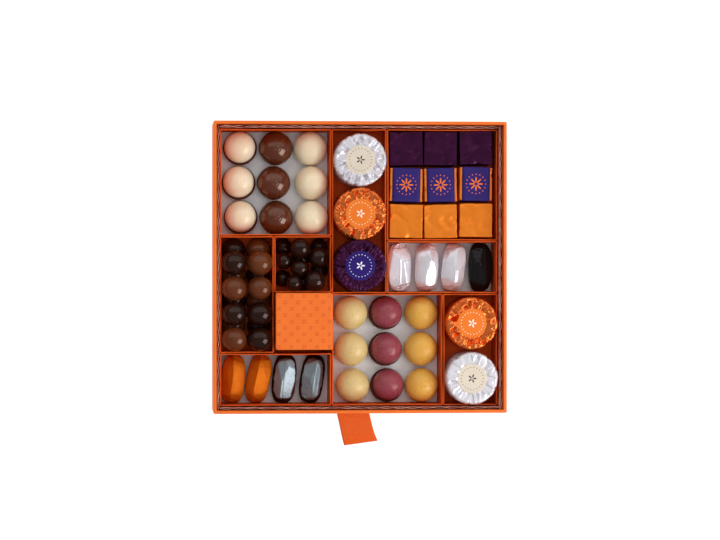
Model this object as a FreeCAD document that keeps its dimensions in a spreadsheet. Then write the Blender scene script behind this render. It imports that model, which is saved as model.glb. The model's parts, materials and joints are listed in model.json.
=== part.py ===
"""Drawer of a chocolate box: a covered board drawer with quilted paper padding, card trays and chocolates.

Lengths are millimetres. +X is the drawer's right side, -Y its front with the ribbon, +Z is up.
The origin is at the middle of the underside.
"""
import FreeCAD, Part
import math
import os
import re

import Sketcher
from FreeCAD import Placement, Rotation, Vector

X_AXIS = Vector(1, 0, 0)
Y_AXIS = Vector(0, 1, 0)
Z_AXIS = Vector(0, 0, 1)
UPRIGHT_AXIS, LEVEL_AXIS = range(-2, 0)
START, END, CENTRE = range(1, 4)
ORIGIN_POINT = (LEVEL_AXIS, START)

SIZES = (
    # Drawer of grey board covered with paper
    ("paper", 0.2, "covering paper"),
    ("board", 1.9, "grey board"),
    ("drawer_height", 41.0, "table to rim"),
    ("turn_in", 13.0, "covering paper turned down inside the rim"),
    ("turn_under", 12.0, "covering paper turned under the base"),
    ("base_inset", 3.0, "base sheet short of the edge"),
    ("board_corner", 0.8, "outer upright corners of the board"),
    ("inner_corner", 0.3, "inner upright corners of board and card"),
    # Quilted paper along the walls
    ("padding_thick", 1.95, "across the swell of one cell"),
    ("padding_ply", 0.3, "one of the two plies"),
    ("padding_cell", 10.0, "length of one cell, about"),
    ("padding_weld", 1.0, "length pressed flat at each end of a cell"),
    ("padding_height", 32.0, "height of the strip"),
    ("padding_gap", 0.15, "room beside the strip"),
    # Ribbon pull
    ("ribbon_width", 25.0, "width of the ribbon"),
    ("ribbon_thick", 0.4, "one layer of ribbon"),
    ("ribbon_offset", -3.6, "middle of the ribbon from the middle of the front"),
    ("ribbon_lie", 6.9, "stretch that lies flat at the end"),
    ("ribbon_drift", 7.0, "sideways lie of the free end"),
    ("ribbon_skew", 3.4, "how much shorter the right edge is than the left"),
    ("ribbon_tab", 9.0, "each end glued inside the wall"),
    ("ribbon_gap", 0.6, "ribbon's free part from the wall"),
    ("slit_level", 12.0, "middle of the slit above the table"),
    ("slit_room", 0.4, "slit larger than the ribbon"),
    # Card trays
    ("card", 0.9, "tray card"),
    ("tray_height", 26.0, "outside height of a tray"),
    ("tray_gap", 0.3, "room between trays"),
    ("insert_card", 0.5, "white card on a tray's floor"),
    ("insert_gap", 0.4, "room round the white card"),
    ("seat_gap", 0.15, "room under and between round pieces"),
    # Small lidded box
    ("gift_side", 42.8, "outside of the lid"),
    ("gift_height", 36.0, "closed height"),
    ("lid_skirt", 14.0, "depth of the lid"),
    ("lid_fit", 0.2, "room between lid and base"),
    # Pralines
    ("praline_diameter", 26.2, "widest part"),
    ("praline_height_share", 0.84, "height on its flat foot, to its width"),
    ("praline_gap", 0.2, "least room round a praline"),
    ("dome_step_share", 0.042, "dome inside the edge of a dark base, to its width"),
    # Foil discs, two to a stack
    ("disc_diameter", 39.2, "wrapped disc"),
    ("disc_height", 17.3, "wrapped disc"),
    ("disc_edge", 3.0, "rounding of the rim"),
    ("disc_gap", 0.4, "room round a disc"),
    ("pleat_count", 22.0, "folds of the foil"),
    ("pleat_depth", 0.45, "depth of a fold beside the label"),
    ("pleat_fall", 4.0, "degrees that a fold runs down outwards"),
    ("label_diameter", 22.6, "round paper label"),
    ("label_thick", 0.15, "label paper"),
    # Foil cubes
    ("cube_side", 25.4, "wrapped cube"),
    ("cube_edge", 0.8, "rounding of the edges"),
    ("cube_gap", 1.6, "room round a cube"),
    ("band_width", 21.4, "paper band"),
    ("band_thick", 0.2, "band paper"),
    # Long wrapped bonbons
    ("bonbon_length", 36.5, "end to end"),
    ("bonbon_width", 17.0, "widest part"),
    ("bonbon_height", 17.5, "foot to ridge"),
    ("bonbon_gap", 2.5, "room between bonbons"),
    ("bonbon_end_gap", 0.8, "room at the ends of a bonbon"),
    # Dragees
    ("dragee_diameter", 18.8, "large dragee"),
    ("dragee_gap", 0.5, "room round a large dragee"),
    ("dragee_row_count", 4.5, "rows of large dragees, with the half row of the lower layer"),
    ("small_dragee", 14.4, "middling small dragee"),
    ("small_across_count", 2.9, "middling small dragees to the width of their tray"),
    ("small_along_count", 2.85, "middling small dragees to its depth"),
)

# Where the walls of the trays and the drawer come out, each from the sizes and the lines above it
LAYOUT = (
    ("floor_top", "board + 3 * paper"),
    ("tray_floor", "floor_top + card"),
    ("card_top", "tray_floor + insert_card"),
    ("lost", "2 * card + tray_gap"),
    ("dragee_cell", "2 * dragee_diameter + 3 * dragee_gap + lost"),
    ("small_wide", "small_across_count * small_dragee + lost"),
    ("small_deep", "small_along_count * small_dragee + lost"),
    ("gift_cell", "gift_side + tray_gap"),
    ("praline_height", "praline_height_share * praline_diameter"),
    ("dome_step", "dome_step_share * praline_diameter"),
    ("praline_cell", "3 * praline_diameter + 4 * praline_gap + lost"),
    ("bonbon_cell", "4 * bonbon_width + 5 * bonbon_gap + lost"),
    ("bonbon_row", "bonbon_length + 2 * bonbon_end_gap + lost"),
    ("cube_cell", "3 * cube_side + 4 * cube_gap + 2 * band_thick + lost"),
    ("disc_cell", "disc_diameter + 2 * disc_gap + lost"),
    ("disc_pair", "2 * disc_diameter + 4 * disc_gap + lost"),
    ("disc_three", "3 * disc_diameter + 6 * disc_gap + lost"),
    ("dragee_row", "max(dragee_row_count * (dragee_diameter + dragee_gap) + lost; gift_cell + small_deep)"),
    ("left_block", "max(dragee_cell + max(gift_cell; small_wide); max(praline_cell; bonbon_cell))"),
    ("right_block", "disc_cell + max(max(cube_cell; bonbon_cell); praline_cell)"),
    ("front_row", "max(praline_cell; disc_pair)"),
    ("left_stack", "bonbon_row + dragee_row + praline_cell"),
    ("right_stack", "front_row + max(bonbon_row + cube_cell; disc_three)"),
    ("set_width", "left_block + right_block"),
    ("set_depth", "max(left_stack; right_stack)"),
    ("left_line", "-set_width / 2"),
    ("dragee_line", "left_line + dragee_cell"),
    ("centre_line", "left_line + left_block"),
    ("cube_line", "centre_line + disc_cell"),
    ("right_line", "set_width / 2"),
    ("pair_line", "right_line - disc_cell"),
    ("front_line", "-set_depth / 2"),
    ("bonbon_line", "front_line + bonbon_row"),
    ("back_line", "set_depth / 2"),
    ("shell_line", "back_line - praline_cell"),
    ("gift_line", "shell_line - small_deep"),
    ("fruit_line", "back_line - max(cube_cell + bonbon_row; disc_three)"),
    ("candy_line", "fruit_line + bonbon_row"),
    ("padding_room", "ribbon_thick + padding_thick + 2 * padding_gap"),
    ("inside_width", "set_width + 2 * padding_room"),
    ("inside_depth", "set_depth + 2 * padding_room"),
    ("board_inside_width", "inside_width + 2 * paper"),
    ("board_inside_depth", "inside_depth + 2 * paper"),
    ("board_width", "board_inside_width + 2 * board"),
    ("board_depth", "board_inside_depth + 2 * board"),
    ("drawer_width", "board_width + 2 * paper"),
    ("drawer_depth", "board_depth + 2 * paper"),
    ("slit_height", "2 * ribbon_thick + slit_room"),
    ("dragee_room", "shell_line - bonbon_line - lost"),
    ("dragee_pitch", "(dragee_room - dragee_diameter - dragee_gap) / (dragee_row_count - 1)"),
    ("dragee_rise", "sqrt(pow(dragee_diameter + seat_gap; 2) - pow(dragee_pitch / 2; 2))"),
)

LAYOUT_NAMES = {name for name, _ in LAYOUT}
SIZE_NAMES = {name for name, _, _ in SIZES}

doc = FreeCAD.newDocument("ChocolateBox")
sizes = doc.addObject("Spreadsheet::Sheet", "Sizes")
layout = doc.addObject("App::VarSet", "Layout")
nodes = {}


def formula(text):
    """Point each plain name of a size or a layout line at the object that holds it."""
    def place_of(word):
        name = word.group()
        if name in SIZE_NAMES:
            return f"Sizes.{name}"
        if name in LAYOUT_NAMES:
            return f"Layout.{name}"
        return name
    return re.sub(r"[a-z]\w*", place_of, text)


def bind(thing, prop, text):
    """Bind one property to a formula of named sizes."""
    thing.setExpression(prop, formula(text))


def number(text):
    """Value of a formula of named sizes."""
    return float(layout.evalExpression(formula(text)))


def fill_sheets():
    """Write the driving sizes to the sheet and bind the layout to them."""
    for row, (name, size, meaning) in enumerate(SIZES, start=1):
        sizes.set(f"A{row}", name)
        sizes.set(f"B{row}", str(size))
        sizes.set(f"C{row}", meaning)
        sizes.setAlias(f"B{row}", name)
    doc.recompute()
    for name, text in LAYOUT:
        layout.addProperty("App::PropertyFloat", name, "Layout")
        bind(layout, name, text)
        doc.recompute()


def place(thing, x="0", y="0", z="0", turn=0.0):
    """Stand a piece at a named spot, turned about the upright axis by degrees."""
    thing.Placement = Placement(Vector(), Rotation(Z_AXIS, turn))
    for axis, text in (("x", x), ("y", y), ("z", z)):
        bind(thing, f"Placement.Base.{axis}", text)


def new_body(label):
    """Start a body that becomes the node of that name."""
    body = doc.addObject("PartDesign::Body", label)
    body.Label = label
    return body


def keep(label, thing):
    """Keep a finished piece as a node."""
    thing.Label = label
    nodes[label] = thing
    return thing


def origin_feature(body, role):
    """One of the body's own origin planes or axes."""
    return next(item for item in body.Origin.OriginFeatures if item.Role == role)


def sketch_on(body, name, plane, offset="0"):
    """Start a sketch on one of the body's planes, raised from it by an offset."""
    sketch = body.newObject("Sketcher::SketchObject", f"{body.Name}_{name}")
    sketch.AttachmentSupport = [(origin_feature(body, plane), "")]
    sketch.MapMode = "FlatFace"
    bind(sketch, "AttachmentOffset.Base.z", offset)
    return sketch


def dimension(sketch, name, constraint, text):
    """Add a named dimension and bind it."""
    index = sketch.addConstraint(constraint)
    sketch.renameConstraint(index, name)
    sketch.setExpression(f"Constraints.{name}", formula(text))


def add_outline(sketch, name, width, depth, radius):
    """Draw a centred rectangle with rounded corners in a sketch."""
    round_by = number(radius)
    corner_x = number(width) / 2 - round_by
    corner_y = number(depth) / 2 - round_by
    arcs = []
    for quarter, (side_x, side_y) in enumerate(((1, -1), (1, 1), (-1, 1), (-1, -1))):
        centre = Vector(side_x * corner_x, side_y * corner_y, 0)
        first = (quarter - 1) * math.pi / 2
        circle = Part.Circle(centre, Z_AXIS, round_by)
        arcs.append(sketch.addGeometry(Part.ArcOfCircle(circle, first, first + math.pi / 2), False))
    lines = []
    for arc, following in zip(arcs, arcs[1:] + arcs[:1]):
        begin = sketch.getPoint(arc, END)
        finish = sketch.getPoint(following, START)
        lines.append(sketch.addGeometry(Part.LineSegment(begin, finish), False))
    for arc, line, following in zip(arcs, lines, arcs[1:] + arcs[:1]):
        sketch.addConstraint(Sketcher.Constraint("Tangent", arc, END, line, START))
        sketch.addConstraint(Sketcher.Constraint("Tangent", line, END, following, START))
    for line, direction in zip(lines, ("Vertical", "Horizontal", "Vertical", "Horizontal")):
        sketch.addConstraint(Sketcher.Constraint(direction, line))
    for arc in arcs[1:]:
        sketch.addConstraint(Sketcher.Constraint("Equal", arcs[0], arc))
    sketch.addConstraint(Sketcher.Constraint("Symmetric", arcs[0], CENTRE, arcs[2], CENTRE, *ORIGIN_POINT))
    across = Sketcher.Constraint("DistanceX", lines[2], START, lines[0], START, number(width))
    along = Sketcher.Constraint("DistanceY", lines[3], START, lines[1], START, number(depth))
    dimension(sketch, f"{name}_width", across, width)
    dimension(sketch, f"{name}_depth", along, depth)
    dimension(sketch, f"{name}_radius", Sketcher.Constraint("Radius", arcs[0], round_by), radius)


def pad(body, name, outlines, bottom, height):
    """Raise a slab with rounded corners; a second outline leaves a hole in it."""
    sketch = sketch_on(body, f"{name}_outline", "XY_Plane", bottom)
    for index, outline in enumerate(outlines):
        add_outline(sketch, f"outline_{index}", *outline)
    feature = body.newObject("PartDesign::Pad", f"{body.Name}_{name}")
    feature.Profile = sketch
    bind(feature, "Length", height)
    doc.recompute()
    return feature


def pocket(body, name, outlines, top, depth):
    """Sink a pocket with rounded corners down from a level; a second outline leaves an island."""
    sketch = sketch_on(body, f"{name}_outline", "XY_Plane", top)
    for index, outline in enumerate(outlines):
        add_outline(sketch, f"outline_{index}", *outline)
    feature = body.newObject("PartDesign::Pocket", f"{body.Name}_{name}")
    feature.Profile = sketch
    bind(feature, "Length", depth)
    doc.recompute()
    return feature


def cut_slit(body):
    """Cut the ribbon's slit through the front wall of a drawer piece."""
    slit = body.newObject("PartDesign::SubtractiveBox", f"{body.Name}_slit")
    bind(slit, "Length", "ribbon_width + slit_room")
    bind(slit, "Width", "(drawer_depth - set_depth) / 2")
    bind(slit, "Height", "slit_height")
    bind(slit, "Placement.Base.x", "ribbon_offset - (ribbon_width + slit_room) / 2")
    bind(slit, "Placement.Base.y", "-drawer_depth / 2")
    bind(slit, "Placement.Base.z", "slit_level - slit_height / 2")
    doc.recompute()


def make_drawer():
    """Board drawer, its covering paper, base sheet and lining."""
    board = new_body("drawer_board")
    outside = ("board_width", "board_depth", "board_corner")
    inside = ("board_inside_width", "board_inside_depth", "inner_corner")
    pad(board, "block", [outside], "2 * paper", "drawer_height - 3 * paper")
    pocket(board, "hollow", [inside], "drawer_height - paper", "drawer_height - 3 * paper - board")
    cut_slit(board)
    keep("drawer_board", board)

    wrap = new_body("drawer_wrap")
    covered = ("drawer_width", "drawer_depth", "board_corner + paper")
    turned_in = ("inside_width", "inside_depth", "inner_corner")
    under = ("board_width - 2 * turn_under", "board_depth - 2 * turn_under", "inner_corner")
    pad(wrap, "block", [covered], "paper", "drawer_height - paper")
    pocket(wrap, "inside", [turned_in], "drawer_height", "drawer_height - 2 * paper")
    pocket(wrap, "underside", [under], "2 * paper", "paper")
    pocket(wrap, "board_room", [outside, inside], "drawer_height - paper", "drawer_height - 3 * paper")
    below_turn = "drawer_height - turn_in"
    pocket(wrap, "below_turn_in", [inside, turned_in], below_turn, "drawer_height - turn_in - 2 * paper")
    cut_slit(wrap)
    keep("drawer_wrap", wrap)

    sheet = new_body("base_sheet")
    glued = ("board_width - 2 * base_inset", "board_depth - 2 * base_inset", "inner_corner")
    pad(sheet, "sheet", [glued], "0", "paper")
    pad(sheet, "middle", [under], "paper", "paper")
    keep("base_sheet", sheet)

    lining = new_body("floor_lining")
    pad(lining, "sheet", [inside], "2 * paper + board", "paper")
    keep("floor_lining", lining)


def add_lens(sketch, name, first_x, last_x, level, swell):
    """Draw two arcs that bow apart between two upright stations, up and down from +-level."""
    begin, finish = number(first_x), number(last_x)
    height, rise = number(level), number(swell)
    middle = (begin + finish) / 2
    arcs = []
    for side in (1, -1):
        points = (Vector(begin, side * height, 0), Vector(middle, side * (height + rise), 0),
                  Vector(finish, side * height, 0))
        arcs.append(sketch.addGeometry(Part.Arc(*points), False))
    radius = f"(pow(({last_x} - ({first_x})) / 2; 2) + pow({swell}; 2)) / (2 * ({swell}))"
    for side, arc in zip(("upper", "lower"), arcs):
        dimension(sketch, f"{name}_{side}_bow", Sketcher.Constraint("Radius", arc, number(radius)), radius)
    return arcs


def ends_by_x(sketch, arc):
    """The point numbers of an arc's left and right ends."""
    first = sketch.getPoint(arc, START)
    last = sketch.getPoint(arc, END)
    return (START, END) if first.x < last.x else (END, START)


def cell_end(sketch, upper, lower, top_end, low_end):
    """Edge that closes two arcs at one end, from the lower to the upper."""
    line = Part.LineSegment(sketch.getPoint(lower, low_end), sketch.getPoint(upper, top_end))
    edge = sketch.addGeometry(line, False)
    sketch.addConstraint(Sketcher.Constraint("Coincident", edge, START, lower, low_end))
    sketch.addConstraint(Sketcher.Constraint("Coincident", edge, END, upper, top_end))
    return edge


def make_padding(label, length, x, y, turn):
    """Strip of two paper plies pressed together at intervals, so that it swells in lens-shaped cells."""
    body = new_body(label)
    count = f"round(({length}) / padding_cell)"
    cell = f"({length}) / {count}"
    swell = "padding_thick / 2 - padding_ply"
    sketch = sketch_on(body, "cell", "XY_Plane")
    upper, lower = add_lens(sketch, "outside", "0", cell, "padding_ply", swell)
    left, right = ends_by_x(sketch, upper)
    low_left, low_right = ends_by_x(sketch, lower)
    near_edge, far_edge = (cell_end(sketch, upper, lower, *points)
                           for points in ((left, low_left), (right, low_right)))
    sketch.addConstraint(Sketcher.Constraint("Symmetric", near_edge, START, near_edge, END, *ORIGIN_POINT))
    sketch.addConstraint(Sketcher.Constraint("PointOnObject", near_edge, END, UPRIGHT_AXIS))
    weld = Sketcher.Constraint("DistanceY", near_edge, START, near_edge, END, 2 * number("padding_ply"))
    dimension(sketch, "both_plies", weld, "2 * padding_ply")
    sketch.addConstraint(Sketcher.Constraint("Symmetric", far_edge, START, far_edge, END, LEVEL_AXIS))
    reach = Sketcher.Constraint("DistanceX", *ORIGIN_POINT, far_edge, END, number(cell))
    dimension(sketch, "cell_length", reach, cell)
    inside_end = f"{cell} - padding_weld"
    inner_upper, inner_lower = add_lens(sketch, "inside", "padding_weld", inside_end, "0", swell)
    in_left, in_right = ends_by_x(sketch, inner_upper)
    lower_left, lower_right = ends_by_x(sketch, inner_lower)
    sketch.addConstraint(Sketcher.Constraint("Coincident", inner_upper, in_left, inner_lower, lower_left))
    sketch.addConstraint(Sketcher.Constraint("Coincident", inner_upper, in_right, inner_lower, lower_right))
    sketch.addConstraint(Sketcher.Constraint("PointOnObject", inner_upper, in_left, LEVEL_AXIS))
    sketch.addConstraint(Sketcher.Constraint("PointOnObject", inner_upper, in_right, LEVEL_AXIS))
    near = Sketcher.Constraint("DistanceX", *ORIGIN_POINT, inner_upper, in_left, number("padding_weld"))
    dimension(sketch, "weld_left", near, "padding_weld")
    far = Sketcher.Constraint("DistanceX", *ORIGIN_POINT, inner_upper, in_right, number(inside_end))
    dimension(sketch, "weld_right", far, inside_end)
    raised = body.newObject("PartDesign::Pad", f"{label}_cell_pad")
    raised.Profile = sketch
    bind(raised, "Length", "padding_height")
    doc.recompute()
    row = body.newObject("PartDesign::LinearPattern", f"{label}_row")
    row.Originals = [raised]
    row.Direction = (origin_feature(body, "X_Axis"), [""])
    bind(row, "Length", f"({length}) - {cell}")
    bind(row, "Occurrences", count)
    body.Tip = row
    place(body, x, y, "floor_top", turn)
    keep(label, body)


def make_paddings():
    """Four strips, the side ones running the whole depth."""
    beside = "ribbon_thick + padding_gap + padding_thick / 2"
    deep = "inside_depth - 2 * padding_gap"
    wide = "inside_width - 2 * padding_room"
    make_padding("padding_left", deep, f"-inside_width / 2 + {beside}", f"-({deep}) / 2", 90.0)
    make_padding("padding_right", deep, f"inside_width / 2 - ({beside})", f"-({deep}) / 2", 90.0)
    make_padding("padding_front", wide, f"-({wide}) / 2", f"-inside_depth / 2 + {beside}", 0.0)
    make_padding("padding_back", wide, f"-({wide}) / 2", f"inside_depth / 2 - ({beside})", 0.0)


def make_ribbon():
    """Ribbon pull: a glued tail through the slit, and the free doubled end that falls to the table."""
    tail = new_body("ribbon_tail")
    tabs = tail.newObject("PartDesign::AdditiveBox", "ribbon_tail_tabs")
    bind(tabs, "Length", "ribbon_width")
    bind(tabs, "Width", "ribbon_thick")
    bind(tabs, "Height", "2 * ribbon_tab")
    bind(tabs, "Placement.Base.x", "-ribbon_width / 2")
    bind(tabs, "Placement.Base.z", "-ribbon_tab")
    doc.recompute()
    neck = tail.newObject("PartDesign::AdditiveBox", "ribbon_tail_neck")
    bind(neck, "Length", "ribbon_width")
    bind(neck, "Width", "board + paper")
    bind(neck, "Height", "2 * ribbon_thick")
    bind(neck, "Placement.Base.x", "-ribbon_width / 2")
    bind(neck, "Placement.Base.y", "-board - paper")
    bind(neck, "Placement.Base.z", "-ribbon_thick")
    place(tail, "ribbon_offset", "-board_inside_depth / 2", "slit_level")
    keep("ribbon_tail", tail)

    # The free part falls in two arcs of a sixth of a turn, whose radius is then the height it falls
    pull = new_body("ribbon_pull")
    fall = "slit_level - ribbon_thick - seat_gap"
    drop = number(fall)
    sixth = math.pi / 3
    turn_y = drop * math.sin(sixth)
    path = sketch_on(pull, "path", "YZ_Plane")
    first_circle = Part.Circle(Vector(0, -drop, 0), Z_AXIS, drop)
    over = path.addGeometry(Part.ArcOfCircle(first_circle, math.pi / 2, math.pi / 2 + sixth), False)
    second_circle = Part.Circle(Vector(-2 * turn_y, 0, 0), Z_AXIS, drop)
    down = path.addGeometry(Part.ArcOfCircle(second_circle, 1.5 * math.pi, 1.5 * math.pi + sixth), False)
    lie_from = path.getPoint(down, START)
    lie_to = lie_from - Vector(number("ribbon_lie"), 0, 0)
    flat = path.addGeometry(Part.LineSegment(lie_from, lie_to), False)
    path.addConstraint(Sketcher.Constraint("Coincident", over, START, *ORIGIN_POINT))
    path.addConstraint(Sketcher.Constraint("PointOnObject", over, CENTRE, UPRIGHT_AXIS))
    path.addConstraint(Sketcher.Constraint("Tangent", over, END, down, END))
    path.addConstraint(Sketcher.Constraint("Tangent", down, START, flat, START))
    path.addConstraint(Sketcher.Constraint("Horizontal", flat))
    path.addConstraint(Sketcher.Constraint("Equal", over, down))
    dimension(path, "fall_radius", Sketcher.Constraint("Radius", over, drop), fall)
    level = Sketcher.Constraint("DistanceY", flat, START, *ORIGIN_POINT, drop)
    dimension(path, "fall_height", level, fall)
    lie = Sketcher.Constraint("DistanceX", flat, END, flat, START, number("ribbon_lie"))
    dimension(path, "lie_length", lie, "ribbon_lie")
    section = sketch_on(pull, "section", "XZ_Plane")
    add_outline(section, "ribbon", "2 * ribbon_width", "2 * ribbon_thick", "ribbon_thick / 2")
    sweep = pull.newObject("PartDesign::AdditivePipe", "ribbon_pull_sweep")
    sweep.Profile = section
    sweep.Spine = (path, [])
    doc.recompute()
    trim_ribbon(pull, f"2 * ({fall}) * sin(60) + ribbon_lie")
    place(pull, "ribbon_offset", "-drawer_depth / 2 - ribbon_gap", "slit_level")
    keep("ribbon_pull", pull)


def trim_ribbon(body, reach):
    """Trim the swept ribbon to its plan: it drifts to the right and its end is cut askew."""
    trim = sketch_on(body, "plan", "XY_Plane", "slit_level")
    corners = (
        ("near_left", "-ribbon_width / 2", "0"),
        ("near_right", "ribbon_width / 2", "0"),
        ("far_right", "ribbon_width / 2 + ribbon_drift", f"-({reach}) + ribbon_skew"),
        ("far_left", "-ribbon_width / 2 + ribbon_drift", f"-({reach})"),
    )
    spots = [Vector(number(x), number(y), 0) for _, x, y in corners]
    lines = []
    for spot, following in zip(spots, spots[1:] + spots[:1]):
        lines.append(trim.addGeometry(Part.LineSegment(spot, following), False))
    for line, following in zip(lines, lines[1:] + lines[:1]):
        trim.addConstraint(Sketcher.Constraint("Coincident", line, END, following, START))
    trim.addConstraint(Sketcher.Constraint("PointOnObject", lines[0], START, LEVEL_AXIS))
    trim.addConstraint(Sketcher.Constraint("PointOnObject", lines[0], END, LEVEL_AXIS))
    for (name, x, y), line in zip(corners, lines):
        right = Sketcher.Constraint("DistanceX", *ORIGIN_POINT, line, START, number(x))
        dimension(trim, f"{name}_x", right, x)
        if y != "0":
            up = Sketcher.Constraint("DistanceY", *ORIGIN_POINT, line, START, number(y))
            dimension(trim, f"{name}_y", up, y)
    add_outline(trim, "around", "4 * ribbon_width", f"4 * ({reach})", "ribbon_thick")
    cut = body.newObject("PartDesign::Pocket", f"{body.Name}_trim")
    cut.Profile = trim
    bind(cut, "Length", "2 * slit_level")
    doc.recompute()


def open_tray(label, left, right, front, back):
    """Tray of folded card between four lines of the layout."""
    body = new_body(label)
    width = f"{right} - ({left}) - tray_gap"
    depth = f"{back} - ({front}) - tray_gap"
    pad(body, "block", [(width, depth, "inner_corner + card")], "0", "tray_height")
    inside = (f"{width} - 2 * card", f"{depth} - 2 * card", "inner_corner")
    pocket(body, "hollow", [inside], "tray_height", "tray_height - card")
    place(body, f"({left} + {right}) / 2", f"({front} + {back}) / 2", "floor_top")
    keep(label, body)


def make_insert(label, left, right, front, back):
    """White card on a tray's floor."""
    body = new_body(label)
    width = f"{right} - ({left}) - lost - 2 * insert_gap"
    depth = f"{back} - ({front}) - lost - 2 * insert_gap"
    pad(body, "sheet", [(width, depth, "inner_corner")], "0", "insert_card")
    place(body, f"({left} + {right}) / 2", f"({front} + {back}) / 2", "tray_floor")
    keep(label, body)


SHELL = ("left_line", "centre_line", "shell_line", "back_line")
DISC_COLUMN = ("centre_line", "cube_line", "fruit_line", "back_line")
CUBE = ("cube_line", "right_line", "candy_line", "back_line")
RIGHT_BONBON = ("cube_line", "right_line", "fruit_line", "candy_line")
DRAGEE = ("left_line", "dragee_line", "bonbon_line", "shell_line")
SMALL_DRAGEE = ("dragee_line", "centre_line", "gift_line", "shell_line")
LEFT_BONBON = ("left_line", "centre_line", "front_line", "bonbon_line")
FRUIT = ("centre_line", "pair_line", "front_line", "fruit_line")
DISC_PAIR = ("pair_line", "right_line", "front_line", "fruit_line")


def middle_of(cell):
    """Formulas for the middle of a cell."""
    left, right, front, back = cell
    return f"({left} + {right}) / 2", f"({front} + {back}) / 2"


def inside_of(cell):
    """Formulas for the clear width and depth of a tray in a cell."""
    left, right, front, back = cell
    return f"({right} - ({left}) - lost)", f"({back} - ({front}) - lost)"


def make_trays():
    """Every card tray and the white cards in four of them."""
    open_tray("shell_praline_tray", *SHELL)
    open_tray("disc_column_tray", *DISC_COLUMN)
    open_tray("cube_tray", *CUBE)
    open_tray("right_bonbon_tray", *RIGHT_BONBON)
    open_tray("dragee_tray", *DRAGEE)
    open_tray("small_dragee_tray", *SMALL_DRAGEE)
    open_tray("left_bonbon_tray", *LEFT_BONBON)
    open_tray("fruit_praline_tray", *FRUIT)
    open_tray("disc_pair_tray", *DISC_PAIR)
    make_insert("shell_praline_card", *SHELL)
    make_insert("right_bonbon_card", *RIGHT_BONBON)
    make_insert("left_bonbon_card", *LEFT_BONBON)
    make_insert("fruit_praline_card", *FRUIT)


def make_gift_box():
    """Small box with a lift-off lid, against the trays behind it and on its right."""
    x, y = "centre_line - gift_cell / 2", "gift_line - gift_cell / 2"
    base = new_body("gift_box_base")
    base_side = "gift_side - 2 * card - 2 * lid_fit"
    pad(base, "block", [(base_side, base_side, "inner_corner + card")], "0", "gift_height - card")
    hollow = f"{base_side} - 2 * card"
    pocket(base, "hollow", [(hollow, hollow, "inner_corner")], "gift_height - card", "gift_height - 2 * card")
    place(base, x, y, "floor_top")
    keep("gift_box_base", base)

    lid = new_body("gift_box_lid")
    pad(lid, "block", [("gift_side", "gift_side", "inner_corner + card")], "0", "lid_skirt")
    room = "gift_side - 2 * card"
    pocket(lid, "hollow", [(room, room, "inner_corner")], "lid_skirt - card", "lid_skirt - card")
    place(lid, x, y, "floor_top + gift_height - lid_skirt")
    keep("gift_box_lid", lid)


def linked_group(label, master, spots, x, y, z):
    """Node made of copies of one master piece, each at a spot of its own: x, y and z formulas and a turn."""
    copies = []
    for index, (spot_x, spot_y, spot_z, turn) in enumerate(spots):
        copy = doc.addObject("App::Link", f"{label}_{index}")
        copy.LinkedObject = master
        place(copy, spot_x, spot_y, spot_z, turn)
        copies.append(copy)
    compound = doc.addObject("Part::Compound", label)
    compound.Links = copies
    place(compound, x, y, z)
    keep(label, compound)


def sphere_group(label, balls, x, y, z):
    """Node made of round pieces: each has x, y, z and radius formulas and its lowest and highest latitude."""
    spheres = []
    for index, (ball_x, ball_y, ball_z, radius, lowest, highest) in enumerate(balls):
        ball = doc.addObject("Part::Sphere", f"{label}_{index}")
        bind(ball, "Radius", radius)
        bind(ball, "Angle1", lowest)
        bind(ball, "Angle2", highest)
        place(ball, ball_x, ball_y, ball_z)
        spheres.append(ball)
    compound = doc.addObject("Part::Compound", label)
    compound.Links = spheres
    place(compound, x, y, z)
    keep(label, compound)


# How far each praline lies to the right of its place, front to back, as shares of the room between columns
WHITE_LIE = (1.2, 0.1, 0.8)
MILK_LIE = (0.8, -0.6, 0.5)
IVORY_LIE = (0.2, 0.2, -0.3)
PISTACHIO_LIE = (1.7, 0.8, 0.6)
RUBY_LIE = (0.9, 0.0, 0.0)
MANGO_LIE = (0.1, -0.3, -0.1)

# How far the domes lie off the middle of their bases, right and back, as shares of the step round them
WHITE_OFF = (-0.2, 0.7)
RUBY_OFF = (0.8, 0.4)


def praline_column(cell, column, lie, off=(0.0, 0.0)):
    """Spots of three pralines in one column of a tray, or of their domes."""
    width, depth = inside_of(cell)
    spots = []
    for row, share in zip((-1, 0, 1), lie):
        x = f"{column} * {width} / 3 + {share} * ({width} / 3 - praline_diameter) + {off[0]} * dome_step"
        y = f"{row} * {depth} / 3 + {off[1]} * dome_step"
        spots.append((x, y))
    return spots


def make_pralines():
    """Round pralines on flat feet; two columns have a dark base under a smaller dome."""
    waist = "(praline_height - praline_diameter / 2)"
    radius = "praline_diameter / 2"
    dome = "praline_diameter / 2 - dome_step"
    foot = f"-asin({waist} / ({radius}))"
    whole = (
        ("milk_pralines", SHELL, 0, MILK_LIE),
        ("ivory_pralines", SHELL, 1, IVORY_LIE),
        ("pistachio_pralines", FRUIT, -1, PISTACHIO_LIE),
        ("mango_pralines", FRUIT, 1, MANGO_LIE),
    )
    for label, cell, column, lie in whole:
        balls = [(x, y, waist, radius, foot, "90") for x, y in praline_column(cell, column, lie)]
        sphere_group(label, balls, *middle_of(cell), "card_top")
    two_part = (
        ("white_praline", SHELL, -1, WHITE_LIE, WHITE_OFF),
        ("ruby_praline", FRUIT, 0, RUBY_LIE, RUBY_OFF),
    )
    for label, cell, column, lie, off in two_part:
        bases = [(x, y, waist, radius, foot, "0") for x, y in praline_column(cell, column, lie)]
        domes = [(x, y, waist, dome, "0", "90") for x, y in praline_column(cell, column, lie, off)]
        sphere_group(f"{label}_bases", bases, *middle_of(cell), "card_top")
        sphere_group(f"{label}_domes", domes, *middle_of(cell), "card_top")


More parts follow.
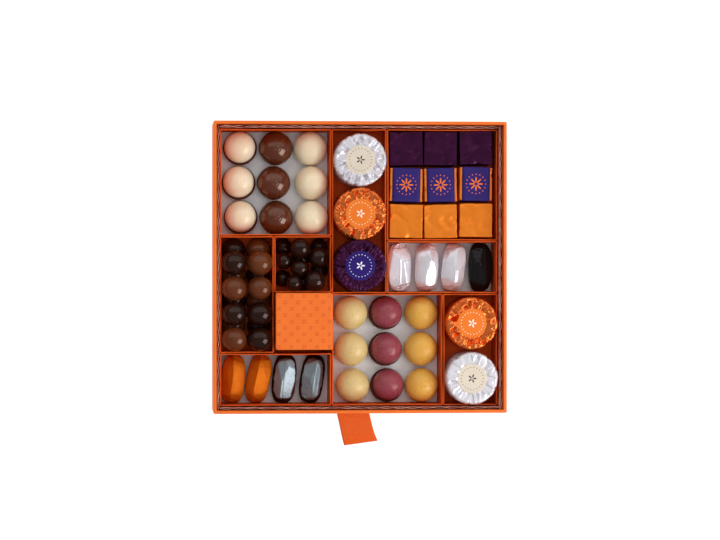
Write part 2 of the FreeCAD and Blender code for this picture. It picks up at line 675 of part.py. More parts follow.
def disc_master():
    """Foil-wrapped disc: rounded rims and folds of foil that radiate from the label."""
    body = new_body("disc_master")
    block = body.newObject("PartDesign::AdditiveCylinder", "disc_block")
    bind(block, "Radius", "disc_diameter / 2")
    bind(block, "Height", "disc_height")
    doc.recompute()
    rims = body.newObject("PartDesign::Fillet", "disc_rims")
    rims.Base = (block, ["Edge1", "Edge3"])
    bind(rims, "Radius", "disc_edge")
    doc.recompute()
    fold = body.newObject("PartDesign::SubtractiveBox", "disc_fold")
    bind(fold, "Length", "disc_diameter / 2")
    bind(fold, "Width", "disc_edge")
    bind(fold, "Height", "disc_edge")
    fall = Rotation(Y_AXIS, number("pleat_fall"))
    fold.Placement = Placement(Vector(), fall * Rotation(X_AXIS, 45))
    bind(fold, "Placement.Base.x", "label_diameter / 2")
    bind(fold, "Placement.Base.z", "disc_height - pleat_depth")
    doc.recompute()
    pleats = body.newObject("PartDesign::PolarPattern", "disc_pleats")
    pleats.Originals = [fold]
    pleats.Axis = (origin_feature(body, "Z_Axis"), [""])
    pleats.Angle = 360
    bind(pleats, "Occurrences", "pleat_count")
    body.Tip = pleats
    doc.recompute()
    return body


def label_master():
    """Round paper label."""
    disc = doc.addObject("Part::Cylinder", "label_master")
    bind(disc, "Radius", "label_diameter / 2")
    bind(disc, "Height", "label_thick")
    return disc


def make_discs():
    """Stacks of two foil discs, each with its label."""
    disc = disc_master()
    paper_round = label_master()
    step = "(disc_height + label_thick)"
    stacks = (
        ("silver", DISC_COLUMN, 3, 0.94, 8.0),
        ("orange", DISC_COLUMN, 3, -0.05, 3.0),
        ("purple", DISC_COLUMN, 3, -1.01, 12.0),
        ("peach", DISC_PAIR, 2, 0.485, 5.0),
        ("pearl", DISC_PAIR, 2, -0.52, 10.0),
    )
    for colour, cell, shares, row, turn in stacks:
        _, depth = inside_of(cell)
        along = f"{row} * {depth} / {shares}"
        discs = [("0", along, f"{layer} * {step}", turn * (1 + layer)) for layer in (0, 1)]
        labels = [("0", along, f"{layer} * {step} + disc_height", 0.0) for layer in (0, 1)]
        linked_group(f"{colour}_discs", disc, discs, *middle_of(cell), "tray_floor")
        linked_group(f"{colour}_disc_labels", paper_round, labels, *middle_of(cell), "tray_floor")


def cube_master():
    """Foil-wrapped cube with its foot at the origin."""
    body = new_body("cube_master")
    block = body.newObject("PartDesign::AdditiveBox", "cube_block")
    for prop in ("Length", "Width", "Height"):
        bind(block, prop, "cube_side")
    bind(block, "Placement.Base.x", "-cube_side / 2")
    bind(block, "Placement.Base.y", "-cube_side / 2")
    doc.recompute()
    edges = body.newObject("PartDesign::Fillet", "cube_edges")
    edges.Base = (block, [""])
    edges.UseAllEdges = True
    bind(edges, "Radius", "cube_edge")
    doc.recompute()
    return body


def band_master():
    """Paper band round a cube from front to back, with its inside foot at the origin."""
    body = new_body("band_master")
    sketch = sketch_on(body, "loop", "YZ_Plane")
    outer = "cube_side + 2 * band_thick"
    add_outline(sketch, "inner", "cube_side", "cube_side", "cube_edge / 2")
    add_outline(sketch, "outer", outer, outer, "cube_edge / 2 + band_thick")
    bind(sketch, "AttachmentOffset.Base.y", "cube_side / 2")
    bind(sketch, "AttachmentOffset.Base.z", "-band_width / 2")
    loop = body.newObject("PartDesign::Pad", "band_loop")
    loop.Profile = sketch
    bind(loop, "Length", "band_width")
    doc.recompute()
    return body


# Place of each column of cubes across the tray and how far back it stands, in cells, and degrees askew
CUBE_COLUMNS = ((-1.0, 0.0, 1.2), (-0.05, 0.0, -1.0), (0.93, 0.03, 0.8))


def make_cubes():
    """Three rows of three cubes, the middle row in paper bands."""
    cube = cube_master()
    band = band_master()
    width, depth = inside_of(CUBE)
    x, y = middle_of(CUBE)
    rows = (("purple_cubes", 1, 1, "0"), ("banded_cubes", 0, -1, "band_thick"), ("gold_cubes", -1, -1, "0"))
    for label, row, sign, lift in rows:
        spots = []
        for column, back, turn in CUBE_COLUMNS:
            spots.append((f"{column} * {width} / 3", f"{row + back} * {depth} / 3", lift, sign * turn))
        linked_group(label, cube, spots, x, y, "tray_floor")
        if label == "banded_cubes":
            linked_group("cube_bands", band, spots, x, y, "tray_floor")


# Stations of a bonbon: share of its half length, then shares of its full width and height there
BONBON_STATIONS = (
    (-1.0, 0.42, 0.46),
    (-0.8, 0.86, 0.86),
    (0.0, 1.0, 1.0),
    (0.8, 0.86, 0.86),
    (1.0, 0.42, 0.46),
)
FOOT_SHARE = 0.62
SHOULDER_SHARE = 0.45
SIDE_BOW = 0.5
ROOF_BOW = 0.9


def bonbon_section(body, index, station, wide, high):
    """Section of a bonbon: flat foot, bowed sides, and two bowed roofs that meet in a ridge."""
    sketch = sketch_on(body, f"section_{index}", "XZ_Plane", f"{station} * bonbon_length / 2")
    half = f"{wide} * bonbon_width / 2"
    foot_x = f"{FOOT_SHARE} * {half}"
    shoulder_z = f"{SHOULDER_SHARE} * {high} * bonbon_height"
    ridge_z = f"{high} * bonbon_height"
    side_bow = f"{SIDE_BOW} * {high} * bonbon_height"
    roof_bow = f"{ROOF_BOW} * {high} * bonbon_height"
    foot = Vector(number(foot_x), 0, 0)
    shoulder = Vector(number(half), number(shoulder_z), 0)
    ridge = Vector(0, number(ridge_z), 0)

    def bowed(begin, finish, radius):
        """Arc between two points with the section's inside on its left."""
        chord = finish - begin
        out = Vector(chord.y, -chord.x, 0).normalize()
        rise = radius - math.sqrt(radius ** 2 - (chord.Length / 2) ** 2)
        return Part.Arc(begin, (begin + finish) / 2 + out * rise, finish)

    def mirrored(point):
        return Vector(-point.x, point.y, 0)

    bottom = sketch.addGeometry(Part.LineSegment(mirrored(foot), foot), False)
    right = sketch.addGeometry(bowed(foot, shoulder, number(side_bow)), False)
    right_roof = sketch.addGeometry(bowed(shoulder, ridge, number(roof_bow)), False)
    left_roof = sketch.addGeometry(bowed(ridge, mirrored(shoulder), number(roof_bow)), False)
    left = sketch.addGeometry(bowed(mirrored(shoulder), mirrored(foot), number(side_bow)), False)
    ring = (bottom, right, right_roof, left_roof, left)
    for edge, following in zip(ring, ring[1:] + ring[:1]):
        sketch.addConstraint(Sketcher.Constraint("Coincident", edge, END, following, START))
    sketch.addConstraint(Sketcher.Constraint("Symmetric", bottom, START, bottom, END, *ORIGIN_POINT))
    sketch.addConstraint(Sketcher.Constraint("PointOnObject", bottom, END, LEVEL_AXIS))
    sketch.addConstraint(Sketcher.Constraint("PointOnObject", right_roof, END, UPRIGHT_AXIS))
    sketch.addConstraint(Sketcher.Constraint("Symmetric", right, END, left, START, UPRIGHT_AXIS))
    sketch.addConstraint(Sketcher.Constraint("Equal", right, left))
    sketch.addConstraint(Sketcher.Constraint("Equal", right_roof, left_roof))
    dimension(sketch, "foot", Sketcher.Constraint("DistanceX", *ORIGIN_POINT, bottom, END, foot.x), foot_x)
    across = Sketcher.Constraint("DistanceX", *ORIGIN_POINT, right, END, shoulder.x)
    dimension(sketch, "half_width", across, half)
    up = Sketcher.Constraint("DistanceY", *ORIGIN_POINT, right, END, shoulder.y)
    dimension(sketch, "shoulder", up, shoulder_z)
    top = Sketcher.Constraint("DistanceY", *ORIGIN_POINT, right_roof, END, ridge.y)
    dimension(sketch, "ridge", top, ridge_z)
    dimension(sketch, "side_bow", Sketcher.Constraint("Radius", right, number(side_bow)), side_bow)
    dimension(sketch, "roof_bow", Sketcher.Constraint("Radius", right_roof, number(roof_bow)), roof_bow)
    return sketch


def bonbon_master():
    """Long wrapped bonbon with a ridge, swelling from its folded ends."""
    body = new_body("bonbon_master")
    sections = [bonbon_section(body, index, *station) for index, station in enumerate(BONBON_STATIONS)]
    loft = body.newObject("PartDesign::AdditiveLoft", "bonbon_loft")
    loft.Profile = sections[0]
    loft.Sections = sections[1:]
    doc.recompute()
    return body


def make_bonbons():
    """Two trays of four bonbons, each at a place across its tray in quarters of it, turned by degrees."""
    bonbon = bonbon_master()
    groups = (
        ("white_bonbons", RIGHT_BONBON, ((-1.5, 0.0), (-0.5, -2.0), (0.5, -6.0))),
        ("black_bonbon", RIGHT_BONBON, ((1.5, -1.0),)),
        ("orange_bonbons", LEFT_BONBON, ((-1.53, -4.0), (-0.6, -10.0))),
        ("silver_bonbons", LEFT_BONBON, ((0.35, -6.0), (1.38, -9.0))),
    )
    for label, cell, places in groups:
        width, _ = inside_of(cell)
        spots = [(f"{column} * {width} / 4", "0", "0", turn) for column, turn in places]
        linked_group(label, bonbon, spots, *middle_of(cell), "card_top")


# Column and row of the large dragees, with the lower layer half a row further back
DARK_UPPER = ((-1, 3), (-1, 1), (1, 1), (1, 0))
MILK_UPPER = ((1, 3), (-1, 2), (1, 2), (-1, 0))
DARK_LOWER = ((-1, 3), (1, 2), (-1, 1), (1, 0))
MILK_LOWER = ((1, 3), (-1, 2), (1, 1), (-1, 0))

# Small dragees from the bottom up: place across and along the tray and radius, in middling sizes
SMALL_DRAGEES = (
    (-0.96, 0.94, 0.46),
    (0.94, 0.92, 0.48),
    (0.95, -0.30, 0.47),
    (-0.98, -0.75, 0.45),
    (0.00, 0.35, 0.50),
    (0.10, -0.94, 0.46),
    (-0.12, 0.86, 0.55),
    (0.88, 0.36, 0.53),
    (-0.96, 0.18, 0.46),
    (-0.12, -0.22, 0.49),
    (-0.46, -1.00, 0.41),
    (0.64, -0.87, 0.54),
)


def large_dragee(column, row, layer):
    """One large dragee of the tray, from its column, row and layer."""
    across = f"{column} * (dragee_diameter + dragee_gap) / 2"
    first = "-dragee_room / 2 + (dragee_diameter + dragee_gap) / 2"
    along = f"{first} + {row + 0.5 * (1 - layer)} * dragee_pitch"
    up = f"dragee_diameter / 2 + seat_gap + {layer} * dragee_rise"
    return across, along, up, "dragee_diameter / 2", "-90", "90"


def settled_height(ball, settled, gap):
    """Lowest centre at which a ball of x, y and radius clears the floor and the balls already lying there."""
    x, y, radius = ball
    height = radius + gap
    for other_x, other_y, other_z, other_radius in settled:
        apart = math.hypot(x - other_x, y - other_y)
        reach = radius + other_radius + gap
        if apart < reach:
            height = max(height, other_z + math.sqrt(reach ** 2 - apart ** 2))
    return height


def make_dragees():
    """Two layers of large dragees, and a heap of small ones."""
    dark = [large_dragee(*spot, 1) for spot in DARK_UPPER] + [large_dragee(*spot, 0) for spot in DARK_LOWER]
    milk = [large_dragee(*spot, 1) for spot in MILK_UPPER] + [large_dragee(*spot, 0) for spot in MILK_LOWER]
    sphere_group("dark_dragees", dark, *middle_of(DRAGEE), "tray_floor")
    sphere_group("milk_dragees", milk, *middle_of(DRAGEE), "tray_floor")
    size = number("small_dragee")
    gap = number("seat_gap")
    settled = []
    small = []
    for share_x, share_y, share in SMALL_DRAGEES:
        x, y, radius = share_x * size, share_y * size, share * size
        height = settled_height((x, y, radius), settled, gap)
        settled.append((x, y, height, radius))
        spot = (f"{share_x} * small_dragee", f"{share_y} * small_dragee", str(height))
        small.append((*spot, f"{share} * small_dragee", "-90", "90"))
    sphere_group("small_dragees", small, *middle_of(SMALL_DRAGEE), "tray_floor")


def check_document():
    """Stop if any object failed, any cut removed nothing, or any piece isn't a valid solid."""
    for thing in doc.Objects:
        if "Invalid" in thing.State or "Error" in thing.State:
            raise RuntimeError(f"{thing.Name} failed: {thing.State}")
        if thing.TypeId in ("PartDesign::Pocket", "PartDesign::SubtractiveBox", "PartDesign::PolarPattern"):
            if thing.Shape.Volume >= thing.BaseFeature.Shape.Volume:
                raise RuntimeError(f"{thing.Name} cuts nothing")
    for label, thing in nodes.items():
        if thing.Shape.isNull() or not thing.Shape.isValid() or not thing.Shape.Solids:
            raise RuntimeError(f"{label} has no valid solid")


def write_parts():
    """Write one file per node."""
    os.makedirs("parts", exist_ok=True)
    for label, thing in nodes.items():
        thing.Shape.exportStep(f"parts/{label}.step")
        box = thing.Shape.BoundBox
        spans = ((box.XMin, box.XMax), (box.YMin, box.YMax), (box.ZMin, box.ZMax))
        reach = ", ".join(f"{low:.1f} to {high:.1f}" for low, high in spans)
        print(f"{label}: {len(thing.Shape.Solids)} solids, {thing.Shape.Volume / 1000:.2f} cm3, {reach}")


fill_sheets()
make_drawer()
make_paddings()
make_ribbon()
make_trays()
make_gift_box()
make_pralines()
make_discs()
make_cubes()
make_bonbons()
make_dragees()
doc.recompute()
check_document()
write_parts()
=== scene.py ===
"""Looks of a chocolate box drawer: card trays, foils, chocolates, quilted paper and a ribbon round the frame.

Lengths are millimetres until a mesh is written, which is in metres. +X is the drawer's right side, -Y its
front with the ribbon, +Z is up. Each piece takes its size and place from the frame's solids.
"""

import json
import logging
import math
from dataclasses import dataclass
from enum import Enum
from typing import Any, Callable, ClassVar, Sequence

import bpy
import numpy as np
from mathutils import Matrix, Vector

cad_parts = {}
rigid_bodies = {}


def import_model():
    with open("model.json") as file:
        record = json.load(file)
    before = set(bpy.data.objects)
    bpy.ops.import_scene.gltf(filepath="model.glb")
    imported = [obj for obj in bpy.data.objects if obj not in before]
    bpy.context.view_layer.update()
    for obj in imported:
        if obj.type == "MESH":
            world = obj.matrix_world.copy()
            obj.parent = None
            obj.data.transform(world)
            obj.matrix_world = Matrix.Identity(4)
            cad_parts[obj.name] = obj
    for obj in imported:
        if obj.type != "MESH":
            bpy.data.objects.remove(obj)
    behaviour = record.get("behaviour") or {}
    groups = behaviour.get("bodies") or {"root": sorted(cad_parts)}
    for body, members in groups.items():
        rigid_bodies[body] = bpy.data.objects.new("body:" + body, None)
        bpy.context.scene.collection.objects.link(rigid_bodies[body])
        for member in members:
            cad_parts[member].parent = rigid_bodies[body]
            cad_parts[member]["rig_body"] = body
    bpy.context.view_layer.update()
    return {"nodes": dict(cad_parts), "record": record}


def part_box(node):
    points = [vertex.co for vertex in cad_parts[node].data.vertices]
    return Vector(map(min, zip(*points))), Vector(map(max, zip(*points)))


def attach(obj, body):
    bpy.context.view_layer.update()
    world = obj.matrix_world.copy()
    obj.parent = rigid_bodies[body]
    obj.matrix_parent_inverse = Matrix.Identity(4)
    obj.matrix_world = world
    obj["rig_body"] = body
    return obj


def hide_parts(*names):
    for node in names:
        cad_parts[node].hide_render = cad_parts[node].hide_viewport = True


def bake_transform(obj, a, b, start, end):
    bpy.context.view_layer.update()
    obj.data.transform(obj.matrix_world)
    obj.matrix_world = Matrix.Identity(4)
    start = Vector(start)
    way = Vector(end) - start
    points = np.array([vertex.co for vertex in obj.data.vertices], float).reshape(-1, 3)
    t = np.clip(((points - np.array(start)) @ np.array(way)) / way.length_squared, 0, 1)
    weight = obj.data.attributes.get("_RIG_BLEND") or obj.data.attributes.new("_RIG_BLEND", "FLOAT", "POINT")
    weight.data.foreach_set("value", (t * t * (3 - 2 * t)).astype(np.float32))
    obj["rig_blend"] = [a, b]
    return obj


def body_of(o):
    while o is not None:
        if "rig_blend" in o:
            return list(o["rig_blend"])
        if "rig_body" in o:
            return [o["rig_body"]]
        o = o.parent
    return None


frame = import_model()

log = logging.getLogger("chocolate_box")

MM = 0.001
FULL_TURN = 2 * math.pi
QUARTER_TURN = math.pi / 2
SEED = 11
PLACE = "place_mm"
SLOT_OF = {part["node"]: part["material_slot"] for part in frame["record"]["subparts"]}

NOISE, BUMP, MATH = "ShaderNodeTexNoise", "ShaderNodeBump", "ShaderNodeMath"
RANGE, MIX, SPLIT = "ShaderNodeMapRange", "ShaderNodeMix", "ShaderNodeSeparateXYZ"
# Sockets of a colour mix
MIX_A, MIX_B, MIX_COLOUR = 6, 7, 2
# Most of a noise lies in the first span, and a share in the second
CLOUD, UNIT = (0.3, 0.7), (0.0, 1.0)


def seeded(name: str) -> np.random.Generator:
    """Random numbers that differ from name to name and are the same in each run."""
    return np.random.default_rng([SEED, *name.encode()])


def linear(code: str) -> tuple[float, float, float, float]:
    """Turn an sRGB hex colour into linear light.

    Args:
        code: six hex digits after a hash sign.

    Returns:
        Red, green, blue and an alpha of one.
    """
    shares = [int(code[at:at + 2], 16) / 255 for at in (1, 3, 5)]
    light = [share / 12.92 if share <= 0.04045 else ((share + 0.055) / 1.055) ** 2.4
             for share in shares]
    return (*light, 1.0)


def feed(tree: bpy.types.NodeTree, node: bpy.types.Node, inputs: dict[Any, Any]) -> None:
    """Set or link inputs of a node.

    Args:
        tree: material's node tree.
        node: node that takes them.
        inputs: value, hex colour, output, or node whose first output is meant, by the input's name or number.
    """
    for key, value in inputs.items():
        source = value.outputs[0] if isinstance(value, bpy.types.Node) else value
        if isinstance(source, bpy.types.NodeSocket):
            tree.links.new(source, node.inputs[key])
        else:
            node.inputs[key].default_value = linear(source) if isinstance(source, str) else source


def add_node(tree: bpy.types.NodeTree, kind: str, inputs: Any = (), **settings: Any) -> bpy.types.Node:
    """Add a node with its settings and links.

    Args:
        tree: material's node tree.
        kind: node's type name.
        inputs: what its inputs get, in their order, or by name or number.
        settings: properties of the node.

    Returns:
        The new node.
    """
    node = tree.nodes.new(kind)
    for name, value in settings.items():
        setattr(node, name, value)
    feed(tree, node, inputs if isinstance(inputs, dict) else dict(enumerate(inputs)))
    return node


def spread(tree: bpy.types.NodeTree, size_mm: float) -> dict[str, Any]:
    """Inputs that lay a texture on the object's own coordinates, with its figures about size_mm apart."""
    spot = add_node(tree, "ShaderNodeTexCoord").outputs["Object"]
    return {"Vector": spot, "Scale": 1 / (size_mm * MM)}


def own_place(tree: bpy.types.NodeTree) -> list[bpy.types.NodeSocket]:
    """Outputs for where a point is on its own solid: across, along and up."""
    place = add_node(tree, "ShaderNodeAttribute", attribute_name=PLACE).outputs["Vector"]
    return list(add_node(tree, SPLIT, [place]).outputs)


@dataclass(frozen=True)
class Finish:
    """What every finish has: a real material's name, two colours that it drifts between, and its gloss.

    Attributes:
        name: common name of the material and how its surface was made.
        colour: main colour.
        shade: colour that it drifts to in patches.
        rough: roughness.
        drift_mm: size of the patches.
    """

    name: str
    colour: str
    shade: str
    rough: float
    drift_mm: float = 9.0

    def material(self) -> bpy.types.Material:
        """The finish as a material, made once.

        Returns:
            The material.
        """
        found = bpy.data.materials.get(self.name)
        if found is None:
            found = bpy.data.materials.new(self.name)
            found.use_nodes = True
            tree = found.node_tree
            feed(tree, tree.nodes["Principled BSDF"], self.surface(tree))
        return found

    def surface(self, tree: bpy.types.NodeTree) -> dict[str, Any]:
        """What the shader's inputs get, by name."""
        raise NotImplementedError

    def drifting(self, tree: bpy.types.NodeTree) -> bpy.types.NodeSocket:
        """The finish's two colours in patches.

        Args:
            tree: material's node tree.

        Returns:
            Output with the colour.
        """
        clouds = add_node(tree, NOISE, {**spread(tree, self.drift_mm), "Detail": 3.0})
        share = add_node(tree, RANGE, [clouds, *CLOUD, *UNIT])
        sides = {0: share, MIX_A: self.colour, MIX_B: self.shade}
        return add_node(tree, MIX, sides, data_type="RGBA").outputs[MIX_COLOUR]

    def skin(self, tree: bpy.types.NodeTree, height: bpy.types.Node, depth_mm: float,
             rougher: tuple[float, float], span: tuple[float, float] = CLOUD) -> dict[str, Any]:
        """Gloss and relief that follow one height.

        Args:
            tree: material's node tree.
            height: node that gives the height.
            depth_mm: how far a height of one is raised.
            rougher: what the lowest and the highest places add to the roughness.
            span: lowest and highest height.

        Returns:
            Inputs of the shader.
        """
        ends = [self.rough + more for more in rougher]
        raised = {"Height": height, "Distance": depth_mm * MM, "Strength": 1.0}
        return {"Roughness": add_node(tree, RANGE, [height, *span, *ends]),
                "Normal": add_node(tree, BUMP, raised)}


@dataclass(frozen=True)
class Paper(Finish):
    """Paper or card: matt fibres pressed flat, so a soft sheen with a fine, cloudy tooth.

    Attributes:
        fibre_mm: size of the tooth, drawn coarser than real fibres so that it shows.
        tooth_mm: depth of the tooth.
        gloss: specular level of the coating.
    """

    fibre_mm: float = 0.8
    tooth_mm: float = 0.05
    gloss: float = 0.4

    ROUGHER: ClassVar[tuple[float, float]] = (-0.07, 0.07)

    def surface(self, tree: bpy.types.NodeTree) -> dict[str, Any]:
        """Cloudy colour, fibres in the gloss and a fine tooth.

        Args:
            tree: material's node tree.

        Returns:
            What the shader's inputs get, by name.
        """
        fibres = add_node(tree, NOISE, {**spread(tree, self.fibre_mm), "Detail": 4.0})
        return {"Base Color": self.face_colour(tree), "Specular IOR Level": self.gloss,
                **self.skin(tree, fibres, self.tooth_mm, self.ROUGHER)}

    def face_colour(self, tree: bpy.types.NodeTree) -> bpy.types.NodeSocket:
        """Colour of the printed face."""
        return self.drifting(tree)


class Ornament(Enum):
    """How rosettes are printed on a paper."""

    SINGLE = "one in the middle"
    LATTICE = "in rows set off by half a step"


@dataclass(frozen=True)
class PrintedPaper(Paper):
    """Paper with a plain rosette ornament in a second ink, on its upper face only.

    Attributes:
        ink: colour of the ornament.
        ornament: how the rosettes are laid out.
        petals: petals of a rosette.
        reach_mm: middle of a rosette to a petal's tip.
        beads: beads round it, none for a bare rosette.
        ring_mm: radius of the ring of beads.
        bead_mm: half height of a bead.
        step_mm: distance between rosettes of a lattice.
        above_mm: level on the piece above which it is printed.
    """

    ink: str = "#FFFFFF"
    ornament: Ornament = Ornament.SINGLE
    petals: int = 6
    reach_mm: float = 4.0
    beads: int = 0
    ring_mm: float = 8.0
    bead_mm: float = 0.8
    step_mm: float = 11.0
    above_mm: float = 0.0

    # Middle, swing and eye of a rosette, as shares of its reach, and the soft edge of the ink
    WAIST: ClassVar[float] = 0.55
    SWING: ClassVar[float] = 0.45
    EYE: ClassVar[float] = 0.2
    SOFT_MM: ClassVar[float] = 1 / 12

    def face_colour(self, tree: bpy.types.NodeTree) -> bpy.types.NodeSocket:
        """Paper colour with the ornament's ink over it."""
        sides = {0: self.ink_share(tree), MIX_A: self.drifting(tree), MIX_B: self.ink}
        return add_node(tree, MIX, sides, data_type="RGBA").outputs[MIX_COLOUR]

    def ink_share(self, tree: bpy.types.NodeTree) -> bpy.types.Node:
        """Where the ink lies, from 0 to 1.

        A rosette's edge lies reach * (waist + swing * cos(petals * angle)) from its middle, and its eye is
        bare. A bead is where cos(beads * angle) less the square of (distance from the ring / bead) is over a
        half.

        Args:
            tree: material's node tree.

        Returns:
            Node that gives the share.
        """
        across, along, level = own_place(tree)
        if self.ornament is Ornament.LATTICE:
            half = self.step_mm / 2
            total = add_node(tree, MATH, [across, along], operation="ADD")
            apart = add_node(tree, MATH, [across, along], operation="SUBTRACT")
            across = add_node(tree, MATH, [total, half, -half], operation="WRAP")
            along = add_node(tree, MATH, [apart, half, -half], operation="WRAP")
        angle = add_node(tree, MATH, [along, across], operation="ARCTAN2")
        squares = [add_node(tree, MATH, [side, 2.0], operation="POWER") for side in (across, along)]
        away = add_node(tree, MATH, [add_node(tree, MATH, squares, operation="ADD")], operation="SQRT")
        turns = add_node(tree, MATH, [angle, float(self.petals)], operation="MULTIPLY")
        wave = add_node(tree, MATH, [turns], operation="COSINE")
        swung = [wave, self.SWING * self.reach_mm, self.WAIST * self.reach_mm]
        edge = add_node(tree, MATH, swung, operation="MULTIPLY_ADD")
        petal = add_node(tree, MATH, [edge, away], operation="SUBTRACT")
        eye = add_node(tree, MATH, [away, self.EYE * self.reach_mm], operation="SUBTRACT")
        mark = add_node(tree, MATH, [petal, eye], operation="MINIMUM")
        if self.beads:
            turns = add_node(tree, MATH, [angle, float(self.beads)], operation="MULTIPLY")
            lobes = add_node(tree, MATH, [turns], operation="COSINE")
            beyond = add_node(tree, MATH, [away, self.ring_mm], operation="SUBTRACT")
            offset = add_node(tree, MATH, [beyond, self.bead_mm], operation="DIVIDE")
            square = add_node(tree, MATH, [offset, offset], operation="MULTIPLY")
            bead = add_node(tree, MATH, [lobes, square], operation="SUBTRACT")
            inside = add_node(tree, MATH, [bead, 0.5, -0.25], operation="MULTIPLY_ADD")
            mark = add_node(tree, MATH, [mark, inside], operation="MAXIMUM")
        high = add_node(tree, MATH, [level, self.above_mm], operation="SUBTRACT")
        within = add_node(tree, MATH, [mark, high], operation="MINIMUM")
        return add_node(tree, RANGE, [within, 0.0, self.SOFT_MM, *UNIT])


@dataclass(frozen=True)
class Foil(Finish):
    """Lacquered aluminium foil, creased by hand: a coloured metal mirror broken by fine ridges.

    Attributes:
        metal: metallic share, lower where the lacquer is thick like paper.
        shine: specular level of the lacquer.
        ridge_mm: distance between the fine ridges.
        ridge_deep_mm: height of them.
        border: colour of a printed border round an oval, if any.
        oval_mm: half width and half length of the oval inside the border.
    """

    metal: float = 1.0
    shine: float = 0.3
    ridge_mm: float = 3.0
    ridge_deep_mm: float = 0.1
    border: str = ""
    oval_mm: tuple[float, float] = (0.0, 0.0)

    ROUGHER: ClassVar[tuple[float, float]] = (-0.05, 0.08)
    RIDGES: ClassVar[tuple[float, float]] = (0.2, 1.2)
    # Size and strength of the border's waves, and where it begins and is full
    WAVE_MM: ClassVar[float] = 6.0
    WAVE: ClassVar[float] = 1.2
    BORDER_EDGE: ClassVar[tuple[float, float]] = (1.5, 1.7)

    def surface(self, tree: bpy.types.NodeTree) -> dict[str, Any]:
        """Drifting lacquer, fine ridges and a gloss that varies with them.

        Args:
            tree: material's node tree.

        Returns:
            What the shader's inputs get, by name.
        """
        creased = {**spread(tree, self.ridge_mm), "Detail": 2.0}
        ridges = add_node(tree, NOISE, creased, noise_type="RIDGED_MULTIFRACTAL")
        colour = self.drifting(tree)
        if self.border:
            sides = {0: self.beyond_oval(tree), MIX_A: colour, MIX_B: self.border}
            colour = add_node(tree, MIX, sides, data_type="RGBA").outputs[MIX_COLOUR]
        return {"Base Color": colour, "Metallic": self.metal, "Specular IOR Level": self.shine,
                **self.skin(tree, ridges, self.ridge_deep_mm, self.ROUGHER, self.RIDGES)}

    def beyond_oval(self, tree: bpy.types.NodeTree) -> bpy.types.Node:
        """Share from 0 to 1 across a wavy oval, near |x / half width|^3 + |y / half length|^3 = 1.

        Args:
            tree: material's node tree.

        Returns:
            Node that gives the share.
        """
        cubes = []
        for side, half in zip(own_place(tree), self.oval_mm):
            away = add_node(tree, MATH, [side], operation="ABSOLUTE")
            part = add_node(tree, MATH, [away, 1 / half], operation="MULTIPLY")
            cubes.append(add_node(tree, MATH, [part, 3.0], operation="POWER"))
        total = add_node(tree, MATH, cubes, operation="ADD")
        waves = add_node(tree, NOISE, {**spread(tree, self.WAVE_MM), "Detail": 2.0})
        wavy = add_node(tree, MATH, [waves, self.WAVE, total], operation="MULTIPLY_ADD")
        return add_node(tree, RANGE, [wavy, *self.BORDER_EDGE, *UNIT])


@dataclass(frozen=True)
class Chocolate(Finish):
    """Tempered chocolate, moulded or panned: a waxy satin to glossy skin with specks and faint blooming.

    Attributes:
        speck: colour of the specks.
        speck_mm: distance between them, about.
        speck_share: how much of the surface they take, 0 to 1.
        glow: share of light that soaks in, high for white chocolate.
        glaze: share of a clear panning glaze.
        shine: specular level under the glaze.
        pore_mm: depth of the skin's pores.
    """

    speck: str = "#3A1D10"
    speck_mm: float = 1.6
    speck_share: float = 0.2
    glow: float = 0.0
    glaze: float = 0.0
    shine: float = 0.5
    pore_mm: float = 0.02

    ROUGHER: ClassVar[tuple[float, float]] = (-0.04, 0.06)
    IOR: ClassVar[float] = 1.48
    TINT: ClassVar[str] = "#F2D8C8"
    SOAK_MM: ClassVar[tuple[float, float, float]] = (1.6, 0.9, 0.5)
    GLAZE_ROUGH: ClassVar[float] = 0.06
    PORE_STEP_MM: ClassVar[float] = 0.7
    # Where a speck is full and where it ends, as shares of the distance, and how much it covers
    SPECK_EDGE: ClassVar[tuple[float, float]] = (0.08, 0.26)
    SPECK_COVER: ClassVar[float] = 0.8

    def surface(self, tree: bpy.types.NodeTree) -> dict[str, Any]:
        """Drifting colour, specks, a little light soaking in, pores and glaze.

        Args:
            tree: material's node tree.

        Returns:
            What the shader's inputs get, by name.
        """
        dots = add_node(tree, "ShaderNodeTexVoronoi", spread(tree, self.speck_mm))
        near = add_node(tree, RANGE, [dots.outputs["Distance"], *self.SPECK_EDGE, 1.0, 0.0])
        chosen = add_node(tree, SPLIT, [dots.outputs["Color"]])
        chance = (1.0 - self.speck_share, 1.02 - self.speck_share)
        few = add_node(tree, RANGE, [chosen, *chance, 0.0, self.SPECK_COVER])
        share = add_node(tree, MATH, [near, few], operation="MULTIPLY")
        pores = add_node(tree, NOISE, {**spread(tree, self.PORE_STEP_MM), "Detail": 4.0})
        sides = {0: share, MIX_A: self.drifting(tree), MIX_B: self.speck}
        colour = add_node(tree, MIX, sides, data_type="RGBA").outputs[MIX_COLOUR]
        return {"Base Color": colour, "IOR": self.IOR, "Specular IOR Level": self.shine,
                "Specular Tint": self.TINT, "Subsurface Weight": self.glow,
                "Subsurface Radius": self.SOAK_MM, "Subsurface Scale": MM, "Coat Weight": self.glaze,
                "Coat Roughness": self.GLAZE_ROUGH, **self.skin(tree, pores, self.pore_mm, self.ROUGHER)}


